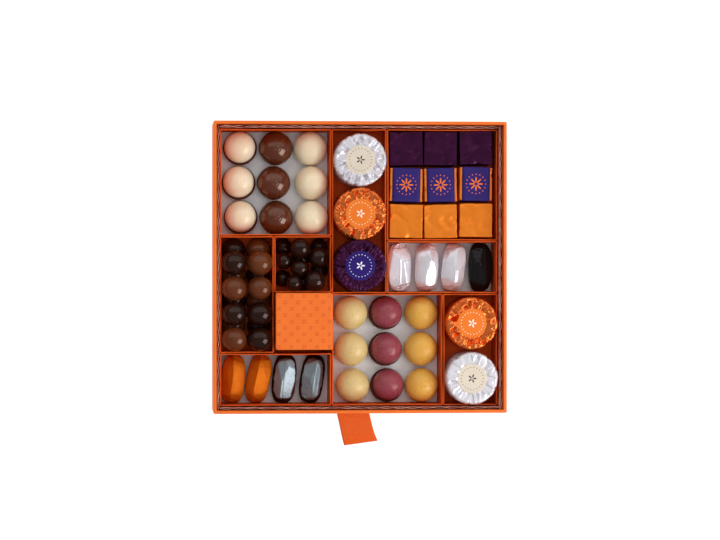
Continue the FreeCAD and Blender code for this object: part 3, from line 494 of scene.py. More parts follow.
@dataclass(frozen=True)
class Weave(Finish):
    """Woven polyester ribbon: fine cross ribs that catch the light, and denser edges.

    Attributes:
        rib_mm: step of the ribs, drawn coarser than real ones so that they show.
        rib_deep_mm: depth of the ribs.
        fleck_mm: size of the warp's flecks.
        half_width_mm: middle of the ribbon to its edge.
        edge_mm: width of the dense edge.
        edge_soft_mm: width over which that begins.
        edge_share: how much of the shade it takes.
        shine: specular level of the threads.
        fuzz: sheen of the threads' ends.
    """

    rib_mm: float = 1.1
    rib_deep_mm: float = 0.12
    fleck_mm: float = 0.9
    half_width_mm: float = 12.5
    edge_mm: float = 0.9
    edge_soft_mm: float = 0.2
    edge_share: float = 0.5
    shine: float = 0.12
    fuzz: float = 0.03

    FLECKS: ClassVar[tuple[float, float]] = (0.35, 0.65)

    def surface(self, tree: bpy.types.NodeTree) -> dict[str, Any]:
        """Ribs across the ribbon, warp flecks in its colour and a darker edge.

        Args:
            tree: material's node tree.

        Returns:
            What the shader's inputs get, by name.
        """
        across, along, _ = own_place(tree)
        phase = add_node(tree, MATH, [along, FULL_TURN / self.rib_mm], operation="MULTIPLY")
        ribs = add_node(tree, MATH, [phase], operation="SINE")
        height = add_node(tree, RANGE, [ribs, -1.0, 1.0, *UNIT])
        flecks = add_node(tree, NOISE, {**spread(tree, self.fleck_mm), "Detail": 3.0})
        share = add_node(tree, RANGE, [flecks, *self.FLECKS, *UNIT])
        side = add_node(tree, MATH, [across], operation="ABSOLUTE")
        begin = self.half_width_mm - self.edge_mm
        edge = add_node(tree, RANGE, [side, begin, begin + self.edge_soft_mm, 0.0, self.edge_share])
        colour: Any = self.colour
        for part in (share, edge):
            sides = {0: part, MIX_A: colour, MIX_B: self.shade}
            colour = add_node(tree, MIX, sides, data_type="RGBA").outputs[MIX_COLOUR]
        raised = {"Height": height, "Distance": self.rib_deep_mm * MM, "Strength": 1.0}
        return {"Base Color": colour, "Roughness": self.rough, "Specular IOR Level": self.shine,
                "Sheen Weight": self.fuzz, "Normal": add_node(tree, BUMP, raised)}


@dataclass(frozen=True)
class LightTable(Finish):
    """Opal acrylic lit from below: an even white without shadows.

    Attributes:
        glow: strength of its own light.
        light: colour of that.
    """

    glow: float = 0.92
    light: str = "#FFFFFF"

    def surface(self, tree: bpy.types.NodeTree) -> dict[str, Any]:
        """White that glows a little by itself."""
        return {"Base Color": self.drifting(tree), "Roughness": self.rough,
                "Emission Color": self.light, "Emission Strength": self.glow}


# Rosette of the round labels
LABEL_ROSETTE = {"petals": 5, "reach_mm": 3.4, "beads": 22, "ring_mm": 8.4, "bead_mm": 0.55}

FINISHES: dict[str, Finish] = {
    # Pressed from waste paper, so flecked and dull
    "grey_board": Paper("millboard_uncoated", "#A89C8C", "#8E8377", 0.85, 4.0, fibre_mm=1.2, tooth_mm=0.08),
    # Litho paper with a satin varnish: even, strong orange
    "covering_paper": Paper("litho_paper_satin_orange", "#F07426", "#EA6B20", 0.5, 14.0, gloss=0.25),
    "lining_paper": Paper("litho_paper_matt_orange", "#D9561B", "#CB4C16", 0.62, 14.0, gloss=0.2),
    # Thin glassine, calendered until it shines; the paper is white, and its pink colour and dark red patches
    # are painted reflection of the orange walls and painted shade
    "padding_paper": Paper("glassine_quilted_painted_bounce", "#FFCFBE", "#CC6450", 0.28, 5.0, fibre_mm=1.4, tooth_mm=0.1,
                           gloss=0.6),
    # Woven satin: ribs that glint a little
    "ribbon_fabric": Weave("polyester_ribbon_woven", "#EA6526", "#E0581A", 0.66, 5.0),
    # Dyed folding card: a smooth face that reflects its neighbours softly
    "tray_card": Paper("folding_card_satin_orange", "#DE5918", "#D65012", 0.5, 12.0, gloss=0.15),
    # Bleached card: an even, faintly cool white
    "white_card": Paper("folding_card_matt_white", "#F4F1F2", "#ECE8EA", 0.7, 10.0, gloss=0.3),
    # Printed in a darker shade of its own orange
    "gift_card": PrintedPaper("litho_card_tone_on_tone", "#F0752A", "#EC6E24", 0.55, 12.0, gloss=0.25,
                              ink="#D4551C", ornament=Ornament.LATTICE, petals=4, reach_mm=2.7, step_mm=9.6,
                              above_mm=13.6),
    # Tempered in moulds: satin to glossy, with a soft highlight; the pale ones let light soak in
    "dark_chocolate": Chocolate("dark_chocolate_moulded", "#4C2115", "#3E190F", 0.42, speck_share=0.1,
                                shine=0.12),
    "white_chocolate": Chocolate("white_chocolate_moulded", "#EEDABE", "#E8D0B0", 0.24, speck="#E2AE5C",
                                 speck_share=0.05, glow=0.12, shine=0.8),
    "milk_chocolate": Chocolate("milk_chocolate_moulded", "#562512", "#4D200F", 0.18, speck="#6E3E27",
                                shine=1.0),
    "ivory_chocolate": Chocolate("ivory_chocolate_moulded", "#F1E2C4", "#EBD8B4", 0.23, speck="#D9A24E",
                                 speck_share=0.06, glow=0.12, shine=0.8),
    "pistachio_chocolate": Chocolate("pistachio_chocolate_moulded", "#D8BF86", "#D1B578", 0.25,
                                     speck="#A88440", speck_share=0.3, speck_mm=2.2, glow=0.2, shine=0.6),
    "ruby_chocolate": Chocolate("ruby_chocolate_moulded", "#934450", "#883A46", 0.26, speck="#B26A72",
                                speck_share=0.35, speck_mm=2.0, glow=0.12, shine=0.6),
    "mango_chocolate": Chocolate("mango_chocolate_moulded", "#E2AF54", "#DBA344", 0.25, speck="#AC7422",
                                 speck_share=0.35, speck_mm=2.2, glow=0.2, shine=0.6),
    # Foil creased by hand: facets that flash or go dark as they turn
    "silver_foil": Foil("aluminium_foil_white_lacquer", "#E0DCE2", "#D4D0D8", 0.42, metal=0.4),
    "orange_foil": Foil("aluminium_foil_orange_lacquer", "#FA8440", "#EE7030", 0.26, metal=0.85),
    "purple_foil": Foil("aluminium_foil_purple_lacquer", "#481640", "#3A1032", 0.34, metal=0.75),
    "gold_foil": Foil("aluminium_foil_gold_lacquer", "#F88A28", "#F0801F", 0.34, metal=0.5, ridge_mm=4.0),
    # Smooth litho papers with a plain rosette
    "band_paper": PrintedPaper("litho_paper_indigo", "#2D1D6A", "#281961", 0.5, gloss=0.2, ink="#E8702A",
                               petals=8, reach_mm=5.4, beads=16, ring_mm=7.4, bead_mm=0.7, above_mm=25.2),
    "cream_label": PrintedPaper("litho_label_cream", "#DCCFBE", "#D6C8B5", 0.6, gloss=0.3, ink="#4A4240",
                                **LABEL_ROSETTE),
    "orange_label": PrintedPaper("litho_label_orange", "#EA7A24", "#E6731E", 0.6, gloss=0.25, ink="#FBE9DC",
                                 **LABEL_ROSETTE),
    "violet_label": PrintedPaper("litho_label_violet", "#2B196A", "#261562", 0.55, gloss=0.15, ink="#EDE8F5",
                                 **LABEL_ROSETTE),
    # Wrappers folded round the bonbons: crisp planes between creases
    "white_wrapper": Foil("foil_paper_white", "#E8E7EC", "#DCDAE2", 0.25, metal=0.4, ridge_deep_mm=0.15),
    "black_wrapper": Foil("foil_paper_black", "#161314", "#100E0F", 0.22, metal=0.2, ridge_deep_mm=0.3),
    "orange_wrapper": Foil("aluminium_foil_orange_satin", "#C4640C", "#B8580A", 0.55, metal=0.5,
                           shine=0.12, ridge_deep_mm=0.2),
    "silver_wrapper": Foil("aluminium_foil_bare", "#98A4AA", "#8A969D", 0.52, metal=0.85, ridge_deep_mm=0.3,
                           border="#33130D", oval_mm=(7.6, 15.5)),
    # Panned with sugar and gum: deep brown under a glaze that mirrors the lamps
    "dark_dragee": Chocolate("dark_chocolate_panned", "#280F08", "#1E0A05", 0.14, glaze=0.35, shine=0.2,
                             speck_share=0.05),
    "milk_dragee": Chocolate("milk_chocolate_panned", "#653217", "#592A12", 0.16, glaze=0.35, shine=0.3,
                             speck_share=0.05, speck="#7C4830"),
}


@dataclass(frozen=True)
class Solid:
    """One solid of a CAD node.

    Attributes:
        foot: spot for the middle of its underside.
        size: width, depth and height in its own axes.
        turn: its turn about the upright axis, in radians.
    """

    foot: np.ndarray
    size: np.ndarray
    turn: float

    TURNS: ClassVar[np.ndarray] = np.radians(np.arange(-16.0, 16.05, 0.1))
    # Hair's breadth between what stands on a card and the card, so that their faces don't coincide
    CLEAR: ClassVar[float] = 0.03

    @classmethod
    def around(cls, points: np.ndarray) -> "Solid":
        """Measure a solid in the turn that fits its plan in the smallest rectangle.

        Args:
            points: its corners.

        Returns:
            The solid.
        """
        cosine, sine = np.cos(cls.TURNS), np.sin(cls.TURNS)
        own_x = points[:, :2] @ np.stack([cosine, sine])
        own_y = points[:, :2] @ np.stack([-sine, cosine])
        best = int(np.argmin(np.ptp(own_x, axis=0) * np.ptp(own_y, axis=0)))
        spans = [(side.min(), side.max()) for side in (own_x[:, best], own_y[:, best], points[:, 2])]
        middle_x, middle_y = (sum(span) / 2 for span in spans[:2])
        foot_x = cosine[best] * middle_x - sine[best] * middle_y
        foot_y = sine[best] * middle_x + cosine[best] * middle_y
        size = np.array([high - low for low, high in spans])
        foot = np.array([foot_x, foot_y, spans[2][0] + cls.CLEAR])
        return cls(foot, size, float(cls.TURNS[best]))


def solids_of(node: str) -> list[Solid]:
    """Find the separate solids of a CAD node, lowest and front left first.

    Corners that lie in one spot, to a hundredth of a millimetre, are one corner. Each starts with a number
    of its own, and each triangle gives its corners the lowest of their numbers, until nothing changes.

    Args:
        node: name of the node.

    Returns:
        Its solids.
    """
    mesh = frame["nodes"][node].data
    corners = np.empty(3 * len(mesh.vertices), np.float32)
    mesh.vertices.foreach_get("co", corners)
    points, owner = np.unique(np.round(corners.reshape(-1, 3) / MM, 2), axis=0, return_inverse=True)
    mesh.calc_loop_triangles()
    triangles = np.empty(3 * len(mesh.loop_triangles), np.int32)
    mesh.loop_triangles.foreach_get("vertices", triangles)
    triangles = owner.ravel()[triangles]
    number = np.arange(len(points))
    settled = False
    while not settled:
        lowest = number.copy()
        np.minimum.at(lowest, triangles, np.repeat(number[triangles].reshape(-1, 3).min(axis=1), 3))
        lowest = lowest[lowest]
        settled = np.array_equal(lowest, number)
        number = lowest
    solids = [Solid.around(points[number == one]) for one in np.unique(number)]
    return sorted(solids, key=lambda solid: tuple(np.round(solid.foot[::-1])))


def box_of(node: str) -> tuple[np.ndarray, np.ndarray]:
    """Lowest and highest corner of a CAD node at rest."""
    low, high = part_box(node)
    return np.array(low) / MM, np.array(high) / MM


@dataclass
class Patch:
    """Stretch of surface.

    Attributes:
        points: corners, a row each.
        faces: four corners each, of which a triangle repeats one.
        place: each corner's place on its own solid.
    """

    points: np.ndarray
    faces: np.ndarray
    place: np.ndarray

    @classmethod
    def grid(cls, points: np.ndarray, ring: bool = False, loop: bool = False,
             capped: bool = False) -> "Patch":
        """Join a grid of points; it faces the way that rows cross columns.

        Args:
            points: grid of points.
            ring: whether the last row joins the first.
            loop: whether the last column joins the first.
            capped: whether the first and last columns are single points.

        Returns:
            The patch.
        """
        index = np.arange(points.shape[0] * points.shape[1]).reshape(points.shape[:2])
        if capped:
            index[:, 0] = index[0, 0]
            index[:, -1] = index[0, -1]
        if ring:
            index = np.vstack([index, index[:1]])
        if loop:
            index = np.hstack([index, index[:, :1]])
        sides = (index[:-1, :-1], index[1:, :-1], index[1:, 1:], index[:-1, 1:])
        used, faces = np.unique(np.stack(sides, axis=-1), return_inverse=True)
        kept = points.reshape(-1, 3)[used]
        return cls(kept, faces.reshape(-1, 4), kept)

    @classmethod
    def joined(cls, patches: Sequence["Patch"]) -> "Patch":
        """Several patches as one, with their corners kept apart.

        Args:
            patches: patches to join.

        Returns:
            The whole.
        """
        starts = np.cumsum([0] + [len(patch.points) for patch in patches[:-1]])
        faces = np.vstack([patch.faces + start for patch, start in zip(patches, starts)])
        points = np.vstack([patch.points for patch in patches])
        return cls(points, faces, np.vstack([patch.place for patch in patches]))

    def at(self, foot: np.ndarray, turn: float = 0.0) -> "Patch":
        """The patch turned about its own upright axis and stood at a spot.

        Args:
            foot: the spot.
            turn: the turn, in radians.

        Returns:
            The patch in its place.
        """
        cosine, sine = math.cos(turn), math.sin(turn)
        turned = self.points @ np.array([[cosine, sine, 0], [-sine, cosine, 0], [0, 0, 1]])
        return Patch(turned + foot, self.faces, self.place)


def add_object(name: str, data: bpy.types.ID) -> bpy.types.Object:
    """Put an object with its data into the scene.

    Args:
        name: object's name.
        data: its mesh, light or camera.

    Returns:
        The object.
    """
    made = bpy.data.objects.new(name, data)
    bpy.context.scene.collection.objects.link(made)
    return made


def make_piece(name: str, patches: Sequence[Patch], *nodes: str) -> bpy.types.Object:
    """Make a piece that stands for CAD nodes, in the first one's finish.

    Args:
        name: piece's name.
        patches: its surfaces.
        nodes: CAD nodes that it replaces.

    Returns:
        The piece.
    """
    whole = Patch.joined(patches)
    kept = whole.faces != np.roll(whole.faces, 1, axis=1)
    counts = kept.sum(axis=1)
    mesh = bpy.data.meshes.new(name)
    mesh.vertices.add(len(whole.points))
    mesh.vertices.foreach_set("co", (whole.points * MM).ravel())
    mesh.loops.add(int(counts.sum()))
    mesh.loops.foreach_set("vertex_index", whole.faces[kept])
    mesh.polygons.add(len(whole.faces))
    mesh.polygons.foreach_set("loop_start", np.cumsum(counts) - counts)
    mesh.update(calc_edges=True)
    mesh.validate()
    mesh.polygons.foreach_set("use_smooth", np.ones(len(mesh.polygons), bool))
    place = mesh.attributes.new(PLACE, "FLOAT_VECTOR", "POINT")
    place.data.foreach_set("vector", whole.place.ravel())
    piece = add_object(name, mesh)
    slot = SLOT_OF[nodes[0]]
    mesh.materials.append(FINISHES[slot].material())
    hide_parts(*nodes)
    log.info("%s: %d faces in %s", name, len(whole.faces), slot)
    return piece


def stand_in(name: str, patches: Sequence[Patch], node: str) -> bpy.types.Object:
    """Make a piece that stands for one CAD node and moves with its body.

    Args:
        name: piece's name.
        patches: its surfaces.
        node: CAD node that it replaces.

    Returns:
        The piece.
    """
    piece = make_piece(name, patches, node)
    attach(piece, body_of(frame["nodes"][node])[0])
    return piece


def dress_node(node: str) -> None:
    """Give a CAD node whose shape is right its finish.

    Args:
        node: name of the node.
    """
    material = FINISHES[SLOT_OF[node]].material()
    for holder in frame["nodes"][node].material_slots:
        holder.material = material
    log.info("%s: dressed in %s", node, material.name)


def thicken(piece: bpy.types.Object, thick: float, offset: float) -> None:
    """Give a sheet its thickness.

    Args:
        piece: the sheet.
        thick: its thickness.
        offset: -1 puts it behind the sheet, and 0 half on each side.
    """
    sheet = piece.modifiers.new("thickness", "SOLIDIFY")
    sheet.thickness = thick * MM
    sheet.offset = offset


def lathe(profile: np.ndarray, count: int) -> np.ndarray:
    """Turn a profile about the upright axis: (r cos a, r sin a, z) for each angle a.

    Args:
        profile: radius and height of each point, from the foot up.
        count: steps round.

    Returns:
        Grid of points, a row for each angle.
    """
    angle = np.linspace(0, FULL_TURN, count, endpoint=False)
    radius, height = profile.T
    level = np.broadcast_to(height, (count, len(height)))
    return np.stack([np.outer(np.cos(angle), radius), np.outer(np.sin(angle), radius), level], axis=-1)


def faced(points: np.ndarray) -> np.ndarray:
    """Outward unit normals of a ring of points: slope along rows crossed with slope along columns.

    Args:
        points: grid of points, whose last row joins the first.

    Returns:
        Normal at each point.
    """
    around = np.roll(points, -1, axis=0) - np.roll(points, 1, axis=0)
    normal = np.cross(around, np.gradient(points, axis=1))
    length = np.linalg.norm(normal, axis=-1, keepdims=True)
    return normal / np.maximum(length, 1e-9)


def sway(points: np.ndarray, reach: float, rng: np.random.Generator, waves: int = 7) -> np.ndarray:
    """Smooth unevenness, about -1 to 1: the sum of sine waves in random directions.

    Args:
        points: points of a surface.
        reach: length of the waves, about.
        rng: random numbers.
        waves: number of waves.

    Returns:
        Height at each point.
    """
    heading = rng.normal(size=(3, waves))
    heading *= FULL_TURN / reach * rng.uniform(0.6, 1.3, waves) / np.linalg.norm(heading, axis=0)
    return np.sin(points @ heading + rng.uniform(0, FULL_TURN, waves)).sum(axis=-1) / math.sqrt(2 * waves)


def facets(points: np.ndarray, size: float, rng: np.random.Generator) -> np.ndarray:
    """Folded facets, about -0.4 to 0.4: squared distance to the nearest of some seeds, less that of others.

    The first seeds leave sharp ridges half way between them and the others sharp valleys, so that flat
    facets meet in both kinds of crease.

    Args:
        points: points of a surface.
        size: distance between seeds.
        rng: random numbers.

    Returns:
        Height at each point, as a share of the size.
    """
    rows = points.reshape(-1, 3)
    order = rng.permutation(len(rows))
    cells = np.unique(np.round(rows[order] / size), axis=0, return_index=True)[1]
    height = np.zeros(len(rows))
    for sign in (1, -1):
        seeds = rows[order[rng.permutation(cells)[::2]]]
        square = (rows ** 2).sum(axis=1)[:, None] + (seeds ** 2).sum(axis=1) - 2 * rows @ seeds.T
        height += sign * square.min(axis=1) / (2 * size ** 2)
    return height.reshape(points.shape[:-1])


def outline(width: float, depth: float, radius: float, per_side: int, per_corner: int = 5) -> np.ndarray:
    """Rectangle with round corners, counterclockwise from its front right corner.

    Args:
        width: size across.
        depth: size along.
        radius: of the corners.
        per_side: points on each straight side.
        per_corner: points on each corner.

    Returns:
        Its points, x and y.
    """
    arcs = []
    for quarter, (side_x, side_y) in enumerate(((1, -1), (1, 1), (-1, 1), (-1, -1))):
        angle = (quarter - 1 + np.linspace(0, 1, per_corner)) * QUARTER_TURN
        centre = np.array([side_x * (width / 2 - radius), side_y * (depth / 2 - radius)])
        arcs.append(centre + radius * np.stack([np.cos(angle), np.sin(angle)], axis=-1))
    share = np.linspace(0, 1, per_side + 2)[1:-1, None]
    stretches = []
    for arc, following in zip(arcs, arcs[1:] + arcs[:1]):
        stretches += [arc, arc[-1] + share * (following[0] - arc[-1])]
    return np.vstack(stretches)


def side_share(per_side: int, per_corner: int = 5) -> np.ndarray:
    """Place of each point of an outline along its own side: 0 at its corners and 1 at their ends."""
    one = np.concatenate([np.zeros(per_corner), np.linspace(0, 1, per_side + 2)[1:-1]])
    return np.tile(one, 4)


def side_number(per_side: int, per_corner: int = 5) -> np.ndarray:
    """Which side of an outline each of its points is on, from right, back, left to front."""
    return np.repeat(np.arange(4), per_side + per_corner)


def over_rim(edge: float, rim: float, top: float, steps: int) -> list[tuple[float, float]]:
    """Profile over a wall's rounded rim: a quarter turn on the outside, and one on the inside.

    Args:
        edge: rounding, as a share of the wall's thickness.
        rim: the same as a length.
        top: level of the rim.
        steps: points on each quarter turn.

    Returns:
        Share of the way from the inside (0) to the outside (1), and level, of each point.
    """
    bend = np.linspace(0, QUARTER_TURN, steps)
    outside = [(1 - edge * (1 - math.cos(turn)), top - rim * (1 - math.sin(turn))) for turn in bend]
    inside = [(edge * (1 - math.sin(turn)), top - rim * (1 - math.cos(turn))) for turn in bend]
    return outside + inside


@dataclass
class OpenBox:
    """Box of folded card without a top, or upside down as a lid.

    Attributes:
        card: thickness of the card.
        fold_in: inner corners' radius.
        rim: rounding of the rim's edges.
        bow: most that a wall leans in at the middle of its rim.
        notch: how far the rim dips where two walls meet.
        per_side: steps along a wall.
    """

    card: float = 0.9
    fold_in: float = 0.3
    rim: float = 0.3
    bow: float = 0.0
    notch: float = 0.0
    per_side: int = 22

    # Rings of the floor as shares of its size, the last one only underneath, and the first level of a wall
    FLOOR_SHARES: ClassVar[tuple[float, ...]] = (0.0, 0.35, 0.65, 0.85, 0.96)
    FLOOR_EDGE: ClassVar[float] = 0.998
    WALL_FOOT: ClassVar[float] = 0.1
    WALL_STEPS: ClassVar[int] = 9
    ROUND_STEPS: ClassVar[int] = 4
    # Least and most lean, how fast it fades to the corners and grows with height
    LEANS: ClassVar[tuple[float, float]] = (0.35, 1.0)
    LEAN_FADE: ClassVar[float] = 0.8
    LEAN_GROWTH: ClassVar[float] = 1.5
    # Reach of a notch along the rim, length and share of the rim's waves, and where a wall begins to dip
    NOTCH_REACH: ClassVar[float] = 1.2
    WAVE: ClassVar[float] = 60.0
    WAVE_SHARE: ClassVar[float] = 0.4
    DIP_FROM: ClassVar[float] = 0.6

    def patch(self, size: np.ndarray, name: str, lid: bool = False) -> Patch:
        """The box as one closed surface.

        Each ring of points is an outline: under the floor from the middle out, up the outside, over the
        rounded rim, down the inside and over the floor back to the middle. The walls lean in by
        bow * sin(pi * share of the side)^fade, growing with height.

        Args:
            size: width, depth and height.
            name: seeds the lean of each wall.
            lid: whether it is upside down.

        Returns:
            The surface, with its foot at the origin.
        """
        width, depth, height = size
        rng = seeded(name)
        outer = outline(width, depth, self.fold_in + self.card, self.per_side)
        inner = outline(width - 2 * self.card, depth - 2 * self.card, self.fold_in, self.per_side)
        share, side = side_share(self.per_side), side_number(self.per_side)
        lean = self.bow * rng.uniform(*self.LEANS, 4)[side] * np.sin(math.pi * share) ** self.LEAN_FADE
        inward = -np.stack([np.array([1, 0, -1, 0])[side], np.array([0, 1, 0, -1])[side]], axis=-1)
        to_corner = np.minimum(share, 1 - share) * np.where(side % 2, width, depth)
        waves = 1 + sway(np.pad(outer, ((0, 0), (0, 1))), self.WAVE, rng)
        dip = self.notch * (np.exp(-(to_corner / self.NOTCH_REACH) ** 2) + self.WAVE_SHARE * waves)

        def ring(out_share: float, level: float) -> np.ndarray:
            """Outline between the inner one and the outer one, at a level.

            Args:
                out_share: 0 for the inner one, 1 for the outer one.
                level: height over the foot.

            Returns:
                Its points.
            """
            leaning = (inward * lean[:, None]) * (level / height) ** self.LEAN_GROWTH
            plan = inner + out_share * (outer - inner) + leaning
            drop = np.clip((level - self.DIP_FROM * height) / ((1 - self.DIP_FROM) * height), 0, 1)
            return np.column_stack([plan, level - dip * drop])

        def flat(plan: np.ndarray, scale: float, level: float) -> np.ndarray:
            """Outline shrunk towards the middle, at a level."""
            return np.column_stack([plan * scale, np.full(len(plan), level)])

        top = height - self.rim
        rounded = over_rim(self.rim / self.card, self.rim, height, self.ROUND_STEPS)
        rings = [flat(outer, scale, 0.0) for scale in (*self.FLOOR_SHARES, self.FLOOR_EDGE)]
        rings += [ring(1.0, level) for level in np.linspace(self.WALL_FOOT, top, self.WALL_STEPS)]
        rings += [ring(out_share, level) for out_share, level in rounded[1:]]
        rings += [ring(0.0, level) for level in np.linspace(self.card, top, self.WALL_STEPS)[-2::-1]]
        rings += [flat(inner, scale, self.card) for scale in self.FLOOR_SHARES[::-1]]
        points = np.stack(rings, axis=1)
        if lid:
            points = points[::-1] * np.array([1, 1, -1]) + np.array([0, 0, height])
        return Patch.grid(points, ring=True, capped=True)


@dataclass
class TraySet:
    """Card trays that stand side by side in the drawer, and the white cards in four of them.

    Attributes:
        bow: most that a tray's wall leans in.
        notch: how far its rim dips where two walls meet.
    """

    bow: float = 0.42
    notch: float = 0.35

    TRAYS: ClassVar[tuple[str, ...]] = (
        "shell_praline_tray", "disc_column_tray", "cube_tray", "right_bonbon_tray", "dragee_tray",
        "small_dragee_tray", "left_bonbon_tray", "fruit_praline_tray", "disc_pair_tray")
    CARDS: ClassVar[tuple[str, ...]] = (
        "shell_praline_card", "right_bonbon_card", "left_bonbon_card", "fruit_praline_card")

    def build(self) -> None:
        """Fold each tray and dress the cards."""
        fold = OpenBox(bow=self.bow, notch=self.notch)
        for node in self.TRAYS:
            solid, = solids_of(node)
            stand_in(f"{node}_folded", [fold.patch(solid.size, node).at(solid.foot)], node)
        for node in self.CARDS:
            dress_node(node)


@dataclass
class GiftBox:
    """Small closed box of printed card.

    Attributes:
        rim: rounding of the rims' edges.
    """

    rim: float = 0.25

    def build(self) -> None:
        """Make the base and the lid."""
        fold = OpenBox(rim=self.rim)
        for node, lid in (("gift_box_base", False), ("gift_box_lid", True)):
            solid, = solids_of(node)
            stand_in(f"{node}_folded", [fold.patch(solid.size, node, lid=lid).at(solid.foot)], node)


@dataclass
class DrawerShell:
    """Board drawer in its covering paper.

    Attributes:
        paper: thickness of the covering paper.
        wall: board and paper of a wall.
        turn_in: paper turned down inside the rim.
        turn_under: paper turned under the base.
        corner: outer corners' radius.
        inner_corner: inner corners' radius.
        rim: rounding of the rim.
        slit_room: slit larger than the ribbon, on each side.
        doubled: thickness of the doubled ribbon in the slit.
        per_side: steps along a wall.
    """

    paper: float = 0.18
    wall: float = 2.3
    turn_in: float = 13.0
    turn_under: float = 12.0
    corner: float = 1.0
    inner_corner: float = 0.3
    rim: float = 0.45
    slit_room: float = 0.2
    doubled: float = 0.8
    per_side: int = 60

    DRESSED: ClassVar[tuple[str, ...]] = ("drawer_board", "base_sheet", "floor_lining")
    ROUND_STEPS: ClassVar[int] = 5
    WALL_LEVELS: ClassVar[tuple[float, ...]] = (6.0, 20.0, 30.0)
    # What counts as the front: how near to it, and how far from the corners
    FRONT_NEAR: ClassVar[float] = 0.1
    CORNER_ROOM: ClassVar[float] = 2.0

    def build(self) -> None:
        """Dress the board, lining and base sheet, and make the covering paper."""
        for node in self.DRESSED:
            dress_node(node)
        thicken(stand_in("covering_paper", [self.cover()], "drawer_wrap"), self.paper, -1.0)

    def cover(self) -> Patch:
        """Covering paper: a profile carried round the drawer, less the ribbon's slit.

        The profile runs from under the base round its edge, up the wall, over the rounded rim and down the
        inside. A share of 1 is the outer outline and 0 the inner one.

        Returns:
            The paper's outer face.
        """
        low, high = box_of("drawer_wrap")
        tail_low, tail_high = box_of("ribbon_tail")
        neck = box_of("ribbon_pull")[1][2]
        width, depth, _ = high - low
        outer = outline(width, depth, self.corner, self.per_side)
        inner = outline(width - 2 * self.wall, depth - 2 * self.wall, self.inner_corner, self.per_side)
        edge = self.rim / self.wall
        slit = (neck - self.doubled - self.slit_room, neck + self.slit_room)
        levels = [low[2] + self.rim / 2, *sorted((*self.WALL_LEVELS, *slit))]
        profile = [(1 - self.turn_under / self.wall, low[2]), (1 - edge / 2, low[2])]
        wall = slice(len(profile), len(profile) + len(levels))
        profile += [(1.0, level) for level in levels]
        profile += over_rim(edge, self.rim, high[2], self.ROUND_STEPS)
        profile += [(0.0, high[2] - self.turn_in / 2), (0.0, high[2] - self.turn_in)]
        rings = [np.column_stack([inner + share * (outer - inner), np.full(len(outer), level)])
                 for share, level in profile]
        points = np.stack(rings, axis=1)
        foot = points[:, wall.start].copy()
        on_front = foot[:, 1] < low[1] + self.FRONT_NEAR
        on_front &= np.abs(foot[:, 0]) < width / 2 - self.CORNER_ROOM
        ends = (tail_low[0] - self.slit_room, tail_high[0] + self.slit_room)
        for end in ends:
            near = np.abs(np.where(on_front, foot[:, 0], np.inf) - end).argmin()
            points[near, wall, 0] = end
        patch = Patch.grid(points, ring=True)
        middle = patch.points[patch.faces].mean(axis=1)
        cut = middle[:, 1] < low[1] + self.FRONT_NEAR
        cut &= (middle[:, 0] > ends[0]) & (middle[:, 0] < ends[1])
        cut &= (middle[:, 2] > slit[0]) & (middle[:, 2] < slit[1])
        patch.faces = patch.faces[~cut]
        return patch


@dataclass
class QuiltedPadding:
    """Glassine strips along the walls: two plies pressed together at intervals, so that they swell in cells.

    Attributes:
        cell: length of a cell, about.
        ply: thickness of a ply.
        weld: gap between the plies where they are pressed together.
        steps: grid steps to a cell.
        rise: grid steps up the strip.
        crease: depth of the creases.
        crease_long: length of their waves.
        ragged: how much the upper edge wanders.
        ragged_long: length of its waves.
    """

    cell: float = 10.0
    ply: float = 0.26
    weld: float = 0.14
    steps: int = 14
    rise: int = 12
    crease: float = 0.16
    crease_long: float = 5.0
    ragged: float = 0.5
    ragged_long: float = 14.0

    STRIPS: ClassVar[tuple[str, ...]] = ("padding_left", "padding_right", "padding_front", "padding_back")
    # Least and most swell of a cell, its share at the foot, what counts as swollen, and the least gap
    SWELLS: ClassVar[tuple[float, float]] = (0.65, 1.0)
    FOOT_SWELL: ClassVar[float] = 0.25
    SWOLLEN: ClassVar[float] = 0.1
    LEAST_GAP: ClassVar[float] = 0.08

    def build(self) -> None:
        """Make the four strips."""
        for node in self.STRIPS:
            plies = [self.ply_patch(node, side) for side in (1, -1)]
            piece = stand_in(f"{node}_quilted", plies, node)
            thicken(piece, self.ply, 0.0)

    def ply_patch(self, node: str, side: int) -> Patch:
        """One ply: it stands off the middle by weld + swell * (1 - (2 s - 1)^2) at share s of each cell.

        The cells open upwards: the swell is a quarter at the foot, and grows with the cube of the height.

        Args:
            node: CAD node of the strip, which seeds the cells' swell and the creases.
            side: 1 or -1, the side of the middle that it swells to.

        Returns:
            The ply.
        """
        low, high = box_of(node)
        size, middle = high - low, (high + low) / 2
        run, across = (0, 1) if size[0] > size[1] else (1, 0)
        count = round(size[run] / self.cell)
        rng = seeded(f"{node}{side}")
        station = np.linspace(0, count, count * self.steps + 1)
        number = np.minimum(station.astype(int), count - 1)
        room = size[across] / 2 - self.weld - self.ply
        swell = (room * rng.uniform(*self.SWELLS, count))[number] * (1 - (2 * (station - number) - 1) ** 2)
        level = np.linspace(0, 1, self.rise)
        points = np.zeros((len(station), self.rise, 3))
        points[..., run] = (low[run] + station * size[run] / count)[:, None]
        points[..., 2] = low[2] + level * size[2]
        crease = self.crease * sway(points, self.crease_long, rng) * level
        opened = self.FOOT_SWELL + (1 - self.FOOT_SWELL) * level ** 3
        bulge = swell[:, None] * opened + crease * (swell[:, None] > self.SWOLLEN)
        off = np.clip(self.weld + bulge, self.LEAST_GAP, room + self.weld)
        points[..., across] = middle[across] + side * off
        points[..., 2] -= level * self.ragged * (0.5 + 0.5 * sway(points, self.ragged_long, rng))
        if side * (1 if run == 0 else -1) > 0:
            points = points[::-1]
        return Patch.grid(points)


